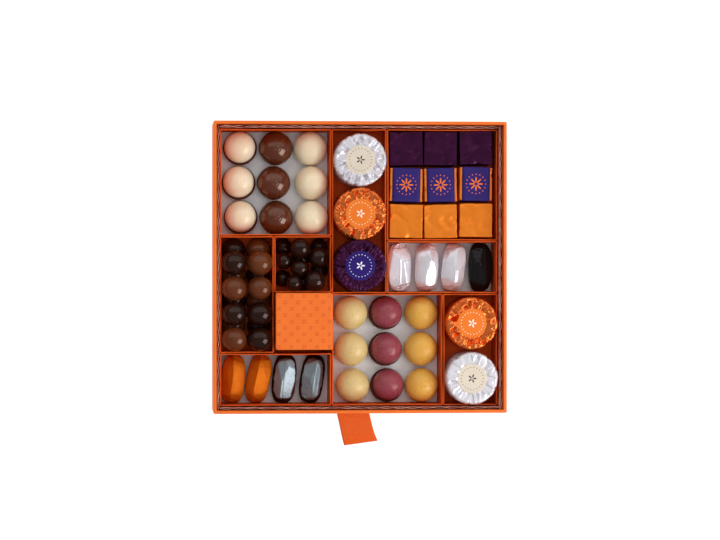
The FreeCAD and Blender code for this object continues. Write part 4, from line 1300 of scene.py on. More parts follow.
@dataclass
class RibbonPull:
    """Ribbon doubled through a slit in the front wall: glued tabs inside, a free loop outside.

    Attributes:
        width: of the ribbon.
        thick: of one layer.
        drift: how far the loop lies to the right of the slit.
        skew: how much shorter the loop's right edge is.
        peep: how far the under layer lies to the right of the upper one at the fold.
        curl: how far the middle of the loop is raised.
        tab: length glued inside on each end.
        bend: where it begins to bend inside the hinge and where it is free outside.
        across_steps: grid steps across it.
    """

    width: float = 25.0
    thick: float = 0.3
    drift: float = 7.0
    skew: float = 3.4
    peep: float = 1.1
    curl: float = 0.25
    tab: float = 9.0
    bend: tuple[float, float] = (0.6, 3.0)
    across_steps: int = 18

    # Room behind the tabs and between the layers, level of the upper layer's end in half gaps, and run before
    # the fold
    TAB_ROOM: ClassVar[float] = 0.05
    LAYER_ROOM: ClassVar[float] = 0.03
    UPPER_END: ClassVar[float] = 2.9
    FOLD_RUN: ClassVar[float] = 2.0
    # The under layer falls a little faster than the upper one
    UNDER_FALL: ClassVar[float] = 0.94
    # Points on a layer, the fold and a tab
    LAYER_STEPS: ClassVar[int] = 48
    FOLD_STEPS: ClassVar[int] = 9
    TAB_STEPS: ClassVar[int] = 10

    def build(self) -> None:
        """Make the ribbon, bent between the drawer and the free loop."""
        patch, length = self.patch()
        piece = make_piece("ribbon_woven", [patch], "ribbon_tail", "ribbon_pull")
        thicken(piece, self.thick, 0.0)
        hinge = np.array(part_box("ribbon_pull")[1]) * np.array([0, 1, 1])
        start, end = hinge + [0, self.bend[0] * MM, 0], hinge - [0, self.bend[1] * MM, 0]
        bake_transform(piece, "drawer", "ribbon", start=tuple(start), end=tuple(end))

    def route(self) -> np.ndarray:
        """Middle line of the ribbon from the upper tab round the loop to the lower tab, y and z.

        Down the upper tab, out through the slit, down to the table by the share s^2 (3 - 2 s) of the fall,
        round the fold in half a turn, and back under itself with the layers a little apart.

        Returns:
            Points of the line.
        """
        pull_low, pull_high = box_of("ribbon_pull")
        tail_low, tail_high = box_of("ribbon_tail")
        neck = (tail_low[2] + tail_high[2]) / 2
        inside = tail_high[1] - self.thick / 2 - self.TAB_ROOM
        gap = self.thick / 2 + self.LAYER_ROOM
        start_y, end_y = pull_high[1], pull_low[1] + 2 * gap
        share = np.linspace(0, 1, self.LAYER_STEPS)
        ease = share * share * (3 - 2 * share)
        fall_y = start_y + (end_y + self.FOLD_RUN - start_y) * share
        upper_fall = pull_low[2] + self.UPPER_END * gap - neck - gap
        upper = np.column_stack([fall_y, neck + gap + upper_fall * ease])
        under_fall = pull_low[2] + gap - neck + gap
        under = np.column_stack([fall_y, neck - gap + under_fall * ease ** self.UNDER_FALL])
        turn = np.linspace(QUARTER_TURN, 3 * QUARTER_TURN, self.FOLD_STEPS)
        middle = (upper[-1, 1] + under[-1, 1]) / 2
        reach = (upper[-1, 1] - under[-1, 1]) / 2
        fold = np.column_stack([end_y + reach * np.cos(turn), middle + reach * np.sin(turn)])
        up_tab, down_tab = (
            np.column_stack([np.full(self.TAB_STEPS, inside), np.linspace(begin, finish, self.TAB_STEPS)])
            for begin, finish in ((neck + self.tab, neck + 2 * gap), (neck - 2 * gap, neck - self.tab)))
        return np.vstack([up_tab, upper, fold, under[::-1], down_tab])

    def patch(self) -> tuple[Patch, float]:
        """The ribbon's surface: its route carried across its width, drifting and skewed towards the fold.

        Returns:
            The surface, and the length of its middle line.
        """
        route = self.route()
        step = np.linalg.norm(np.diff(route, axis=0), axis=1)
        along = np.concatenate([[0], np.cumsum(step)])
        tail_low, tail_high = box_of("ribbon_tail")
        out = np.clip((tail_low[1] - route[:, 0]) / (tail_low[1] - route[:, 0].min()), 0, 1)
        share = np.linspace(-0.5, 0.5, self.across_steps)
        later = np.arange(len(route)) > route[:, 0].argmin()
        drift = self.drift * out + self.peep * out ** 3 * later
        x = (tail_low[0] + tail_high[0]) / 2 + drift[:, None] + share * self.width
        y = route[:, :1] + (self.skew * (share + 0.5)) * (out ** 1.5)[:, None]
        z = route[:, 1:] + self.curl * np.sin(math.pi * (share + 0.5)) * (4 * out * (1 - out))[:, None]
        patch = Patch.grid(np.stack([x, y, z], axis=-1))
        lie = np.broadcast_to(along[:, None], x.shape)
        own = np.stack([np.broadcast_to(share * self.width, x.shape), lie, np.zeros_like(lie)], axis=-1)
        patch.place = own.reshape(-1, 3)
        return patch, float(along[-1])


def ball_profile(radius: float, foot: float, steps: int, crown: float = 1.0) -> np.ndarray:
    """Profile of a ball whose foot is cut flat: radius * (cos b, sin b) from the foot's latitude up.

    Args:
        radius: of the ball.
        foot: height of the ball's middle over its flat foot, the radius itself for a whole ball.
        steps: points up the side.
        crown: over 1 packs the points closer near the top.

    Returns:
        Radius and height of each point, from the middle of the foot to the top.
    """
    lowest = -math.asin(min(foot / radius, 1.0))
    latitude = QUARTER_TURN - (QUARTER_TURN - lowest) * np.linspace(1, 0, steps) ** crown
    side = np.column_stack([radius * np.cos(latitude), foot + radius * np.sin(latitude)])
    if foot >= radius:
        side[0] = (0.0, 0.0)
        return side
    flat = np.column_stack([side[0, 0] * np.array([0.0, 0.5, 0.9]), np.zeros(3)])
    return np.vstack([flat, side])


@dataclass
class PralineSet:
    """Moulded round pralines, each with a small rosette pressed into its top.

    Attributes:
        uneven: depth of the mould's unevenness.
        uneven_long: length of its waves.
        even_foot: height over which it begins.
        relief: depth of the rosette.
        petals: petals of it.
        petal_ring: radius at which they lie.
        petal_wide: half width of them.
        rim_ring: radius of the ring round them.
        rim_wide: half width of that ring.
        rim_share: its depth as a share of the petals'.
        lip: rounding of a base's upper edge.
    """

    uneven: float = 0.14
    uneven_long: float = 13.0
    even_foot: float = 3.0
    relief: float = 0.22
    petals: int = 6
    petal_ring: float = 1.7
    petal_wide: float = 0.6
    rim_ring: float = 3.3
    rim_wide: float = 0.3
    rim_share: float = 0.8
    lip: float = 0.5

    WHOLE: ClassVar[tuple[str, ...]] = ("milk_pralines", "ivory_pralines", "pistachio_pralines",
                                        "mango_pralines")
    TWO_PART: ClassVar[tuple[str, ...]] = ("white_praline", "ruby_praline")
    # Points up a side, how close they are near the top, and steps round a ball and a base
    RISE: ClassVar[int] = 64
    CROWN: ClassVar[float] = 1.25
    AROUND: ClassVar[int] = 84
    BASE_AROUND: ClassVar[int] = 72

    def build(self) -> None:
        """Make every praline; two kinds have a dark base under the dome."""
        for node in self.WHOLE:
            self.make(node, self.shell)
        for kind in self.TWO_PART:
            self.make(f"{kind}_bases", self.base)
            self.make(f"{kind}_domes", self.shell)

    def make(self, node: str, form: Callable[[np.ndarray, np.random.Generator], Patch]) -> None:
        """Make the pralines of one node.

        Args:
            node: name of the node.
            form: makes one praline from its size and random numbers.
        """
        rng = seeded(node)
        patches = [form(solid.size, rng).at(solid.foot) for solid in solids_of(node)]
        stand_in(f"{node}_moulded", patches, node)

    def shell(self, size: np.ndarray, rng: np.random.Generator) -> Patch:
        """Ball on a flat foot, pressed in by the rosette and by its unevenness.

        The rosette is cos(petals * angle) within exp(-((away - petal ring) / half width)^2), and a ring of
        the same form round it.

        Args:
            size: width, depth and height.
            rng: random numbers.

        Returns:
            The praline, with its foot at the origin.
        """
        radius, height = (size[0] + size[1]) / 4, size[2]
        points = lathe(ball_profile(radius, height - radius, self.RISE, self.CROWN), self.AROUND)
        angle, away = np.arctan2(points[..., 1], points[..., 0]), np.hypot(points[..., 0], points[..., 1])
        lobes = np.clip(np.cos(self.petals * angle + rng.uniform(0, FULL_TURN)), 0, 1)
        petals = lobes * np.exp(-((away - self.petal_ring) / self.petal_wide) ** 2)
        ring = np.exp(-((away - self.rim_ring) / self.rim_wide) ** 2)
        pressed = self.relief * np.maximum(petals, self.rim_share * ring) * (points[..., 2] > height / 2)
        return self.dented(points, pressed, rng)

    def base(self, size: np.ndarray, rng: np.random.Generator) -> Patch:
        """Lower half of a ball with a rounded lip and a level top.

        Args:
            size: width, depth and height.
            rng: random numbers.

        Returns:
            The base, with its foot at the origin.
        """
        radius, height = (size[0] + size[1]) / 4, size[2]
        side = ball_profile(radius, height, self.RISE)
        side = side[side[:, 1] < height - self.lip]
        bend = np.linspace(0, QUARTER_TURN, 6)
        lip = np.column_stack([np.cos(bend) - 1, np.sin(bend) - 1]) * self.lip + [radius, height]
        level = np.column_stack([radius * np.array([0.85, 0.5, 0.0]), np.full(3, height)])
        return self.dented(lathe(np.vstack([side, lip, level]), self.BASE_AROUND), 0.0, rng)

    def dented(self, points: np.ndarray, pressed: Any, rng: np.random.Generator) -> Patch:
        """Surface pressed in by a depth and by the mould's unevenness, which leaves the foot flat.

        Args:
            points: ring of points.
            pressed: the depth, at each point or for all of them.
            rng: random numbers.

        Returns:
            The surface.
        """
        waves = 0.5 + 0.5 * sway(points, self.uneven_long, rng)
        dent = pressed + self.uneven * waves * np.clip(points[..., 2] / self.even_foot, 0, 1)
        return Patch.grid(points - faced(points) * dent[..., None], ring=True, capped=True)


@dataclass(frozen=True)
class FoilFolds:
    """How the foil of one kind of disc lies.

    Attributes:
        facet: distance between the creases, round the disc.
        long: how much longer than that the facets run out from the middle.
        crease: depth of the creases.
        pleats: folds round the edge.
        pleat_deep: depth of the folds.
    """

    facet: float
    long: float
    crease: float
    pleats: int
    pleat_deep: float


@dataclass
class DiscStacks:
    """Discs of chocolate wrapped in pleated foil, two to a stack, with round labels.

    Attributes:
        rim: rounding of the edges.
        swell: how far the foil stands out beyond the disc before it is folded in.
        around: steps round.
        label_around: steps round a label.
    """

    rim: float = 1.9
    swell: float = 0.35
    around: int = 340
    label_around: int = 96

    KINDS: ClassVar[dict[str, FoilFolds]] = {
        "silver": FoilFolds(2.2, 2.0, 3.6, 24, 0.35),
        "orange": FoilFolds(1.8, 1.7, 3.0, 34, 0.4),
        "purple": FoilFolds(1.2, 2.4, 1.7, 60, 0.3),
        "peach": FoilFolds(2.6, 1.5, 4.4, 20, 0.4),
        "pearl": FoilFolds(2.8, 2.8, 3.0, 18, 0.3),
    }
    # Foil lies flat up to the first share of the label's radius, and is free the second share further out
    FLAT_TO: ClassVar[float] = 0.92
    FREE_AFTER: ClassVar[float] = 0.2
    # How far a fold strays from its place, in steps, and least and most depth of high and low folds
    STRAY: ClassVar[float] = 0.45
    HIGH_FOLDS: ClassVar[tuple[float, float]] = (0.0, 0.3)
    LOW_FOLDS: ClassVar[tuple[float, float]] = (0.3, 1.0)

    def build(self) -> None:
        """Make the discs and labels of each stack."""
        for kind, folds in self.KINDS.items():
            discs, labels = f"{kind}_discs", f"{kind}_disc_labels"
            rounds = solids_of(labels)
            label_radius = rounds[0].size[0] / 2
            rng = seeded(kind)
            patches = [self.disc(solid.size, label_radius, folds, rng).at(solid.foot)
                       for solid in solids_of(discs)]
            stand_in(f"{discs}_wrapped", patches, discs)
            stand_in(f"{labels}_printed", [self.label(solid.size).at(solid.foot) for solid in rounds], labels)

    def profile(self, radius: float, height: float, label_radius: float) -> np.ndarray:
        """Profile of a disc with rounded rims, from the middle of its foot to the middle of its top.

        Args:
            radius: of the disc.
            height: of the disc.
            label_radius: radius of the label on it.

        Returns:
            Radius and height of each point.
        """
        bend = np.linspace(0, QUARTER_TURN, 7)
        under_label = np.linspace(0, self.FLAT_TO * label_radius, 4)
        flat = np.concatenate([under_label, np.linspace(label_radius, radius - self.rim, 18)])
        foot = np.column_stack([flat, np.zeros(len(flat))])
        low = np.column_stack([radius - self.rim * (1 - np.sin(bend)), self.rim * (1 - np.cos(bend))])
        wall = np.column_stack([np.full(12, radius), np.linspace(self.rim, height - self.rim, 14)[1:-1]])
        half = np.vstack([foot, low[1:]])
        return np.vstack([half, wall, half[::-1] * [1, -1] + [0, height]])

    def disc(self, size: np.ndarray, label_radius: float, folds: FoilFolds,
             rng: np.random.Generator) -> Patch:
        """Wrapped disc: flat top and foot, rounded edges, folded into pleats and facets.

        The facets are laid out on a drum of the disc's mean radius, whose length is the way along the
        profile, shortened so that the facets run long from the middle out.

        Args:
            size: width, depth and height.
            label_radius: radius of the label on it.
            folds: how the foil lies.
            rng: random numbers.

        Returns:
            The disc, with its foot at the origin.
        """
        radius, height = (size[0] + size[1]) / 4, size[2]
        profile = self.profile(radius, height, label_radius)
        points = lathe(profile, self.around)
        way = np.concatenate([[0], np.cumsum(np.linalg.norm(np.diff(profile, axis=0), axis=1))])
        middle = np.full(len(way), (radius + label_radius) / 2)
        drum = lathe(np.column_stack([middle, way / folds.long]), self.around)
        edgeward = np.clip((profile[:, 0] - label_radius) / (radius - label_radius), 0, 1)
        pleat = self.ramps(folds.pleats, rng)[:, None] * edgeward
        outward = faced(points)
        fold = folds.crease * facets(drum, folds.facet, rng)
        raised = self.swell * edgeward - folds.pleat_deep * pleat + fold
        flat_to, free_after = self.FLAT_TO * label_radius, self.FREE_AFTER * label_radius
        free = np.clip((profile[:, 0] - flat_to) / free_after, 0, 1)
        lift = np.minimum(raised, self.swell * (1 + np.abs(outward[..., 2]))) * free
        return Patch.grid(points + outward * lift[..., None], ring=True, capped=True)

    def ramps(self, pleats: int, rng: np.random.Generator) -> np.ndarray:
        """Depth round the disc, in straight ramps between alternately high and low folds.

        Args:
            pleats: folds round the edge.
            rng: random numbers.

        Returns:
            Depth from 0 to 1 at each step round.
        """
        angle = np.linspace(0, FULL_TURN, self.around, endpoint=False)
        count = 2 * pleats
        at = (np.arange(count) + rng.uniform(-self.STRAY, self.STRAY, count)) * FULL_TURN / count
        low, high = (rng.uniform(*span, count) for span in (self.LOW_FOLDS, self.HIGH_FOLDS))
        return np.interp(angle, at, np.where(np.arange(count) % 2, low, high), period=FULL_TURN)

    def label(self, size: np.ndarray) -> Patch:
        """Thin round of paper with a softened edge.

        Args:
            size: width, depth and thickness.

        Returns:
            The label, with its foot at the origin.
        """
        radius, thick = size[0] / 2, size[2]
        profile = [(0, 0), (radius - 0.05, 0), (radius, thick * 0.4), (radius, thick * 0.7),
                   (radius - 0.08, thick)]
        profile += [(radius * share, thick) for share in (0.9, 0.6, 0.3, 0.0)]
        return Patch.grid(lathe(np.array(profile), self.label_around), ring=True, capped=True)


def box_faces(half: np.ndarray, edge: float, steps: int) -> list[np.ndarray]:
    """Six grids of points on a box with rounded edges.

    A point of the plain box is drawn to the nearest point of an inner box, smaller by the edge's radius, and
    then pushed out by that radius.

    Args:
        half: half of the box's width, depth and height.
        edge: radius of its edges.
        steps: grid steps on the flat part of a face.

    Returns:
        Grids that face outwards, about the box's middle.
    """
    bend = np.linspace(0, 1, 4)[:-1]
    grids = []
    for axis in range(3):
        first, second = (axis + 1) % 3, (axis + 2) % 3
        spans = []
        for side in (first, second):
            inside = half[side] - edge
            round_part = inside + edge * np.tan(QUARTER_TURN / 2 * (1 - bend))
            spans.append(np.concatenate([-round_part, np.linspace(-inside, inside, steps), round_part[::-1]]))
        for sign in (1, -1):
            grid = np.zeros((len(spans[0]), len(spans[1]), 3))
            grid[..., first] = spans[0][:, None]
            grid[..., second] = spans[1]
            grid[..., axis] = sign * half[axis]
            core = np.clip(grid, -(half - edge), half - edge)
            out = grid - core
            grid = core + edge * out / np.linalg.norm(out, axis=-1, keepdims=True)
            grids.append(grid if sign > 0 else grid[::-1])
    return grids


def welded(grids: Sequence[np.ndarray]) -> Patch:
    """Join grids whose edges lie on each other into one closed patch.

    Args:
        grids: grids of points.

    Returns:
        The patch.
    """
    apart = Patch.joined([Patch.grid(grid) for grid in grids])
    _, first, owner = np.unique(np.round(apart.points, 4), axis=0, return_index=True, return_inverse=True)
    return Patch(apart.points[first], owner.ravel()[apart.faces], apart.points[first])


@dataclass
class FoilCubes:
    """Cubes wrapped in foil with envelope ends, the middle row in paper bands.

    Attributes:
        edge: rounding of the edges.
        crease: depth of the creases.
        facet: distance between them.
        full: how far the foil stands out beyond the cube.
        flap: depth of a folded flap on the ends.
        band_edge: rounding of a band's folds.
        band_thick: thickness of a band.
        steps: grid steps on a face.
    """

    edge: float = 0.8
    crease: float = 1.1
    facet: float = 4.5
    full: float = 0.12
    flap: float = 0.25
    band_edge: float = 0.6
    band_thick: float = 0.2
    steps: int = 30

    ROWS: ClassVar[tuple[str, ...]] = ("purple_cubes", "banded_cubes", "gold_cubes")
    BANDED: ClassVar[str] = "banded_cubes"
    # Shares of the half size: where an end begins and is full, how far a flap's edge takes to step down, and
    # where the deeper creases of the edges begin
    END: ClassVar[tuple[float, float]] = (0.97, 0.99)
    FLAP_STEP: ClassVar[float] = 0.03
    EDGE_FROM: ClassVar[float] = 0.8
    # Share of the creases' depth on a face, and what the edges add
    FACE_CREASE: ClassVar[float] = 0.6
    EDGE_CREASE: ClassVar[float] = 0.6

    def build(self) -> None:
        """Make the rows and the bands."""
        for node in self.ROWS:
            rng = seeded(node)
            full = -self.full if node == self.BANDED else self.full
            patches = [self.cube(solid.size, full, rng).at(solid.foot, solid.turn)
                       for solid in solids_of(node)]
            stand_in(f"{node}_wrapped", patches, node)
        bands = [self.band(solid.size).at(solid.foot, solid.turn) for solid in solids_of("cube_bands")]
        stand_in("cube_bands_printed", bands, "cube_bands")

    def cube(self, size: np.ndarray, full: float, rng: np.random.Generator) -> Patch:
        """Wrapped cube: folded into facets, deepest at its edges, its ends sunk by two flaps' diagonals.

        Args:
            size: width, depth and height.
            full: how far the foil stands out beyond the cube.
            rng: random numbers.

        Returns:
            The cube, with its foot at the origin.
        """
        half = size / 2
        patch = welded(box_faces(half, self.edge, self.steps))
        points = patch.points
        out = points - np.clip(points, -(half - self.edge), half - self.edge)
        out = out / np.linalg.norm(out, axis=1, keepdims=True)
        share = np.abs(points) / half
        end = np.clip((share[:, 0] - self.END[0]) / (self.END[1] - self.END[0]), 0, 1)
        tuck = np.clip((share[:, 2] - share[:, 1]) / self.FLAP_STEP, 0, 1) * end * self.flap
        rim = np.clip((np.sort(share, axis=1)[:, 1] - self.EDGE_FROM) / (1 - self.EDGE_FROM), 0, 1)
        deep = self.crease * (self.FACE_CREASE + self.EDGE_CREASE * rim)
        fold = deep * facets(points, self.facet, rng)
        lift = np.minimum(full + fold, full + self.full) - tuck
        moved = points + out * lift[:, None] + np.array([0, 0, half[2]])
        return Patch(moved, patch.faces, moved)

    def band(self, size: np.ndarray) -> Patch:
        """Paper band: a flat section carried round a rounded square that stands from front to back.

        Args:
            size: width, depth and height.

        Returns:
            The band, with its foot at the origin.
        """
        width, depth, height = size
        thick = self.band_thick
        outer = outline(depth, height, self.band_edge, 14)
        inner = outline(depth - 2 * thick, height - 2 * thick, self.band_edge - thick, 14)
        across = np.linspace(-0.5, 0.5, 9) * width
        sheets = [(x, outer) for x in across] + [(x, inner) for x in across[::-1]]
        rings = [np.insert(plan, 0, x, axis=1) for x, plan in sheets]
        return Patch.grid(np.stack(rings, axis=1) + [0, 0, height / 2], ring=True, loop=True)


@dataclass(frozen=True)
class WrapperFolds:
    """How the wrapper of one kind of bonbon lies.

    Attributes:
        planes: number of flat planes that it is pressed into.
        lean: how far these lean from the slope of the roofs.
        ridge: place of the lengthwise ridge to the right of the middle, as a share of the half width.
        shoulder: height of the widest part, as a share.
    """

    planes: int
    lean: float
    ridge: float
    shoulder: float


@dataclass
class Bonbons:
    """Long bonbons in folded wrappers: a sharp ridge between two planes, and ends folded flat.

    Attributes:
        end_wide: width at the ends, as a share of the middle's.
        blunt: how late the plan narrows towards the ends.
        end_high: height at the ends, as a share.
        end_steep: how late the height falls towards the ends.
        foot: half width of the flat foot, as a share.
        side_bow: how far the sides bow out, as a share of their length.
        roof_bow: how far the roofs bow out.
        wander: how far the ridge strays to each side.
        press: most that a plane is pressed in.
        lip: height of the pinched edge along the ridge.
        end_from: where the folds of the ends begin, as a share of the half length.
        end_facet: distance between their creases.
        end_crease: depth of those.
        flap_at: where the folded end flaps begin, as a share of the half length.
        flap_slant: most that a flap's edge slants from one side to the other.
        flap_deep: how far the flaps lie under the wrapper.
        flap_step: length over which they step down, as a share of the half length.
        full: how far the wrapper stands out.
    """

    end_wide: float = 0.3
    blunt: float = 3.0
    end_high: float = 0.5
    end_steep: float = 4.0
    foot: float = 0.66
    side_bow: float = 0.2
    roof_bow: float = 0.03
    wander: float = 0.7
    press: float = 0.5
    lip: float = 0.45
    end_from: float = 0.7
    end_facet: float = 4.0
    end_crease: float = 1.6
    flap_at: float = 0.82
    flap_slant: float = 0.14
    flap_deep: float = 1.1
    flap_step: float = 0.02
    full: float = 0.25

    # Along a bonbon a plane leans less than across it, or it would cut deep into an end
    LEAN_SHARES: ClassVar[tuple[float, ...]] = (1.0, 0.8, 1.0)
    # Most that one bonbon's ridge differs from its kind's, and least and most waves of its wander
    RIDGE_STRAY: ClassVar[float] = 0.1
    WANDERS: ClassVar[tuple[float, float]] = (2, 4)
    # Points on a stretch of the section, stations along, and shares of the section that close an end
    SECTION_STEPS: ClassVar[int] = 16
    STATIONS: ClassVar[int] = 81
    CLOSING: ClassVar[tuple[float, ...]] = (0.0, 0.4, 0.8)
    KINDS: ClassVar[dict[str, WrapperFolds]] = {
        "white_bonbons": WrapperFolds(9, 0.16, 0.2, 0.76),
        "black_bonbon": WrapperFolds(10, 0.14, 0.35, 0.74),
        "orange_bonbons": WrapperFolds(5, 0.07, -0.15, 0.72),
        "silver_bonbons": WrapperFolds(7, 0.16, 0.12, 0.8),
    }

    def build(self) -> None:
        """Make each kind."""
        for node, folds in self.KINDS.items():
            rng = seeded(node)
            patches = [self.bonbon(solid.size, folds, rng).at(solid.foot, solid.turn)
                       for solid in solids_of(node)]
            stand_in(f"{node}_wrapped", patches, node)

    def section(self, ridge: float, shoulder: float) -> np.ndarray:
        """Section of unit half width and height, counterclockwise from the foot's middle.

        The stretches between its corners are curves (1-s)^2 begin + 2 s (1-s) pull + s^2 finish, whose pull
        lies outside the middle of the chord.

        Args:
            ridge: place of the ridge to the right of the middle.
            shoulder: height of the widest part.

        Returns:
            Its points.
        """
        share = np.linspace(0, 1, self.SECTION_STEPS + 1)[:-1, None]
        corners = np.array([(0, 0), (self.foot, 0), (1, shoulder), (ridge, 1), (-1, shoulder),
                            (-self.foot, 0), (0, 0)])
        bows = (0.0, self.side_bow, self.roof_bow, self.roof_bow, self.side_bow, 0.0)
        stretches = []
        for begin, finish, bow in zip(corners, corners[1:], bows):
            chord = finish - begin
            pull = (begin + finish) / 2 + 2 * bow * np.array([chord[1], -chord[0]])
            stretches.append((1 - share) ** 2 * begin + 2 * share * (1 - share) * pull + share ** 2 * finish)
        return np.vstack(stretches)

    def bonbon(self, size: np.ndarray, folds: WrapperFolds, rng: np.random.Generator) -> Patch:
        """Wrapped bonbon: the section carried along, shrinking by end + (1 - end) (1 - |t|^blunt)^0.5.

        The ridge wanders a little to each side and is pinched to a lip between planes. The ends are folded
        into small facets, and step down to a flap beyond a slanting line.

        Args:
            size: width, length and height.
            folds: how the wrapper lies.
            rng: random numbers.

        Returns:
            The bonbon, with its foot at the origin.
        """
        width, length, height = size
        ridge = folds.ridge + rng.uniform(-self.RIDGE_STRAY, self.RIDGE_STRAY)
        section = self.section(ridge, folds.shoulder)
        station = np.sin(np.linspace(1, -1, self.STATIONS) * QUARTER_TURN)
        share = np.concatenate([self.CLOSING, np.ones(self.STATIONS), self.CLOSING[::-1]])
        station = np.concatenate([np.ones(len(self.CLOSING)), station, -np.ones(len(self.CLOSING))])
        taper = np.sqrt(1 - np.abs(station) ** self.blunt)
        fall = np.sqrt(1 - np.abs(station) ** self.end_steep)
        wide = (self.end_wide + (1 - self.end_wide) * taper) * width / 2 * share
        high = (self.end_high + (1 - self.end_high) * fall) * height
        points = np.zeros((len(section), len(station), 3))
        points[..., 0] = section[:, :1] * wide
        points[..., 1] = station * length / 2
        points[..., 2] = high * (0.5 + (section[:, 1:] - 0.5) * share)
        wander = self.wander * np.sin(station * rng.uniform(*self.WANDERS) + rng.uniform(0, FULL_TURN))
        points[..., 0] += wander * np.clip(section[:, 1:] - 0.5, 0, 1)
        points = self.pressed(points, folds, rng)
        points[np.argmax(section[:, 1]), :, 2] += self.lip * share
        near_end = np.clip((np.abs(station) - self.end_from) / (1 - self.end_from), 0, 1)
        above = np.clip(points[..., 2] / 2, 0, 1)
        outward = faced(points)
        roof = np.clip(outward[..., 2], 0, 1)
        fold = np.clip(self.end_crease * facets(points, self.end_facet, rng), -1, 1) * near_end
        slant = rng.uniform(-1, 1, 2)[(station > 0).astype(int)] * self.flap_slant
        past = np.abs(station) - self.flap_at - slant * section[:, :1]
        flap = self.flap_deep * np.clip(past / self.flap_step, 0, 1)
        lift = ((fold - flap) * roof + self.full) * above
        return Patch.grid(points + outward * lift[..., None], ring=True, capped=True)

    def pressed(self, points: np.ndarray, folds: WrapperFolds, rng: np.random.Generator) -> np.ndarray:
        """Planes pressed into the roofs: each moves what lies outside it, square to it, down to it.

        Args:
            points: grid of points.
            folds: how the wrapper lies.
            rng: random numbers.

        Returns:
            The points, moved.
        """
        outward = faced(points)
        rows, columns = points.shape[:2]
        for _ in range(folds.planes):
            spot = rng.integers(rows // 3, 2 * rows // 3), rng.integers(columns // 6, 5 * columns // 6)
            facing = outward[spot] + rng.normal(0, folds.lean, 3) * self.LEAN_SHARES
            facing /= np.linalg.norm(facing)
            past = (points - points[spot]) @ facing + rng.uniform(0, self.press)
            points = points - np.clip(past, 0, None)[..., None] * facing
        return points


@dataclass
class Dragees:
    """Sugar-panned balls, none quite round.

    Attributes:
        uneven: how far a ball is pressed in or out, as a share of its radius.
        uneven_long: length of the waves of that, in radii.
        fullest: most that it stands out.
        stretch: least and most of its size along each axis, as a share.
        rise: points up a side.
        around: steps round.
    """

    uneven: float = 0.05
    uneven_long: float = 4.5
    fullest: float = 0.015
    stretch: tuple[float, float] = (0.97, 1.05)
    rise: int = 34
    around: int = 56

    NODES: ClassVar[tuple[str, ...]] = ("dark_dragees", "milk_dragees", "small_dragees")

    def build(self) -> None:
        """Make each heap."""
        for node in self.NODES:
            rng = seeded(node)
            patches = [self.ball(solid.size[0] / 2, rng).at(solid.foot) for solid in solids_of(node)]
            stand_in(f"{node}_panned", patches, node)

    def ball(self, radius: float, rng: np.random.Generator) -> Patch:
        """Ball stretched along each axis, and pressed in or out by smooth unevenness longer than itself.

        Args:
            radius: of the ball.
            rng: random numbers.

        Returns:
            The ball, with its foot at the origin.
        """
        points = lathe(ball_profile(radius, radius, self.rise), self.around)
        middle = np.array([0, 0, radius])
        about = (points - middle) * rng.uniform(*self.stretch, 3)
        waves = sway(about, self.uneven_long * radius, rng)
        press = np.clip(self.uneven * waves, -self.uneven, self.fullest)
        return Patch.grid(about * (1 + press[..., None]) + middle, ring=True, capped=True)


@dataclass(frozen=True)
class Softbox:
    """Soft light that faces the middle of the drawer.

    Attributes:
        name: of the light.
        at: where it stands.
        size: its width and height.
        power: in watts.
        mirrored: whether it shows in what is glossy.
    """

    name: str
    at: tuple[float, float, float]
    size: tuple[float, float]
    power: float
    mirrored: bool = True

    def build(self) -> None:
        """Hang the light."""
        light = bpy.data.lights.new(self.name, "AREA")
        light.shape = "RECTANGLE"
        light.size, light.size_y = (side * MM for side in self.size)
        light.energy = self.power
        holder = add_object(self.name, light)
        holder.location = Vector(self.at) * MM
        holder.rotation_euler = (-holder.location).to_track_quat("-Z", "Y").to_euler()
        holder.visible_camera = False
        holder.visible_glossy = self.mirrored


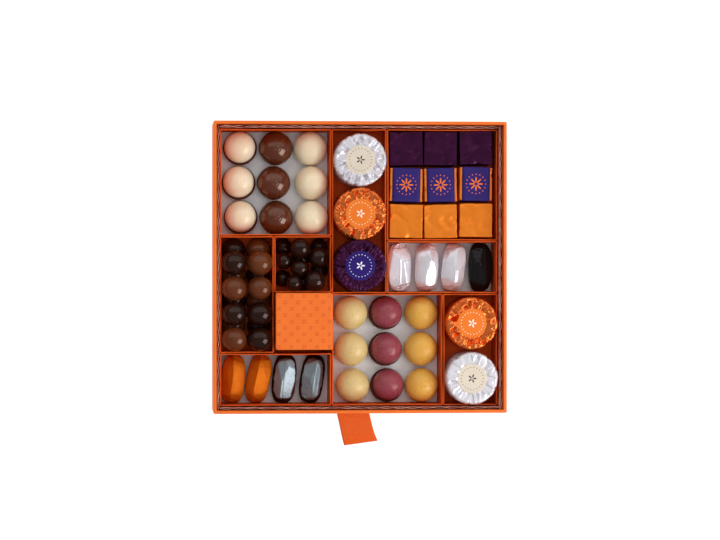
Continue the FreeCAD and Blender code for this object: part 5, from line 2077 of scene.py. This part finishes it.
@dataclass
class Studio:
    """Pale floor, soft lights and the camera of the photograph.

    Attributes:
        camera: where the camera is, straight over a point left of the drawer.
        aim: point of the rim's level that the lens points at.
        shift: sideways shift of the picture, as a share of its width.
        lens: focal length.
        sensor: width of the sensor.
        floor_side: side of the floor.
        floor_level: level of the floor, a hair's breadth under the drawer.
        walls: strength of the even light from all round.
    """

    camera: tuple[float, float, float] = (-159.3, -2.04, 1659.0)
    aim: tuple[float, float, float] = (-55.1, -2.04, 41.0)
    shift: float = 0.1
    lens: float = 107.7
    sensor: float = 36.0
    floor_side: float = 6000.0
    floor_level: float = -0.05
    walls: float = 0.3

    # The floor is lit from below, so that the drawer stands in an even white
    FLOOR: ClassVar[Finish] = LightTable("acrylic_opal_lit", "#8C8C8C", "#888888", 0.5, 300.0)
    LIGHTS: ClassVar[tuple[Softbox, ...]] = (
        Softbox("key", (640, -360, 620), (620, 620), 6.0),
        Softbox("back", (0, 930, 1050), (3600, 1300), 11.0),
        Softbox("overhead", (0, 0, 2200), (1500, 1500), 10.5, mirrored=False),
    )

    def build(self) -> None:
        """Make the floor, the lights, the world and the camera."""
        half, level = self.floor_side / 2 * MM, self.floor_level * MM
        corners = [(-half, -half, level), (half, -half, level), (half, half, level), (-half, half, level)]
        mesh = bpy.data.meshes.new("floor")
        mesh.from_pydata(corners, [], [(0, 1, 2, 3)])
        mesh.materials.append(self.FLOOR.material())
        add_object("floor", mesh)
        for light in self.LIGHTS:
            light.build()
        self.sky()
        self.take_camera()

    def sky(self) -> None:
        """Even pale light from all round, and colours shown as they are."""
        world = bpy.data.worlds.new("studio_walls")
        world.use_nodes = True
        background = world.node_tree.nodes["Background"]
        feed(world.node_tree, background, {"Color": "#FFFFFF", "Strength": self.walls})
        bpy.context.scene.world = world
        bpy.context.scene.view_settings.view_transform = "Standard"

    def take_camera(self) -> None:
        """Camera over the left of the drawer, tilted to its aim and shifted to the photograph's frame."""
        data = bpy.data.cameras.new("camera")
        data.lens = self.lens
        data.sensor_width = self.sensor
        data.shift_x = self.shift
        holder = add_object("camera", data)
        holder.location = Vector(self.camera) * MM
        across, _, up = np.subtract(self.camera, self.aim)
        holder.rotation_euler = (0.0, math.atan2(across, up), 0.0)
        bpy.context.scene.camera = holder


def main() -> None:
    """Build the box piece by piece."""
    logging.basicConfig(level=logging.INFO, format="%(message)s")
    assemblies = (DrawerShell(), QuiltedPadding(), RibbonPull(), TraySet(), GiftBox(), PralineSet(),
                  DiscStacks(), FoilCubes(), Bonbons(), Dragees(), Studio())
    for assembly in assemblies:
        assembly.build()


if __name__ == "__main__":
    main()
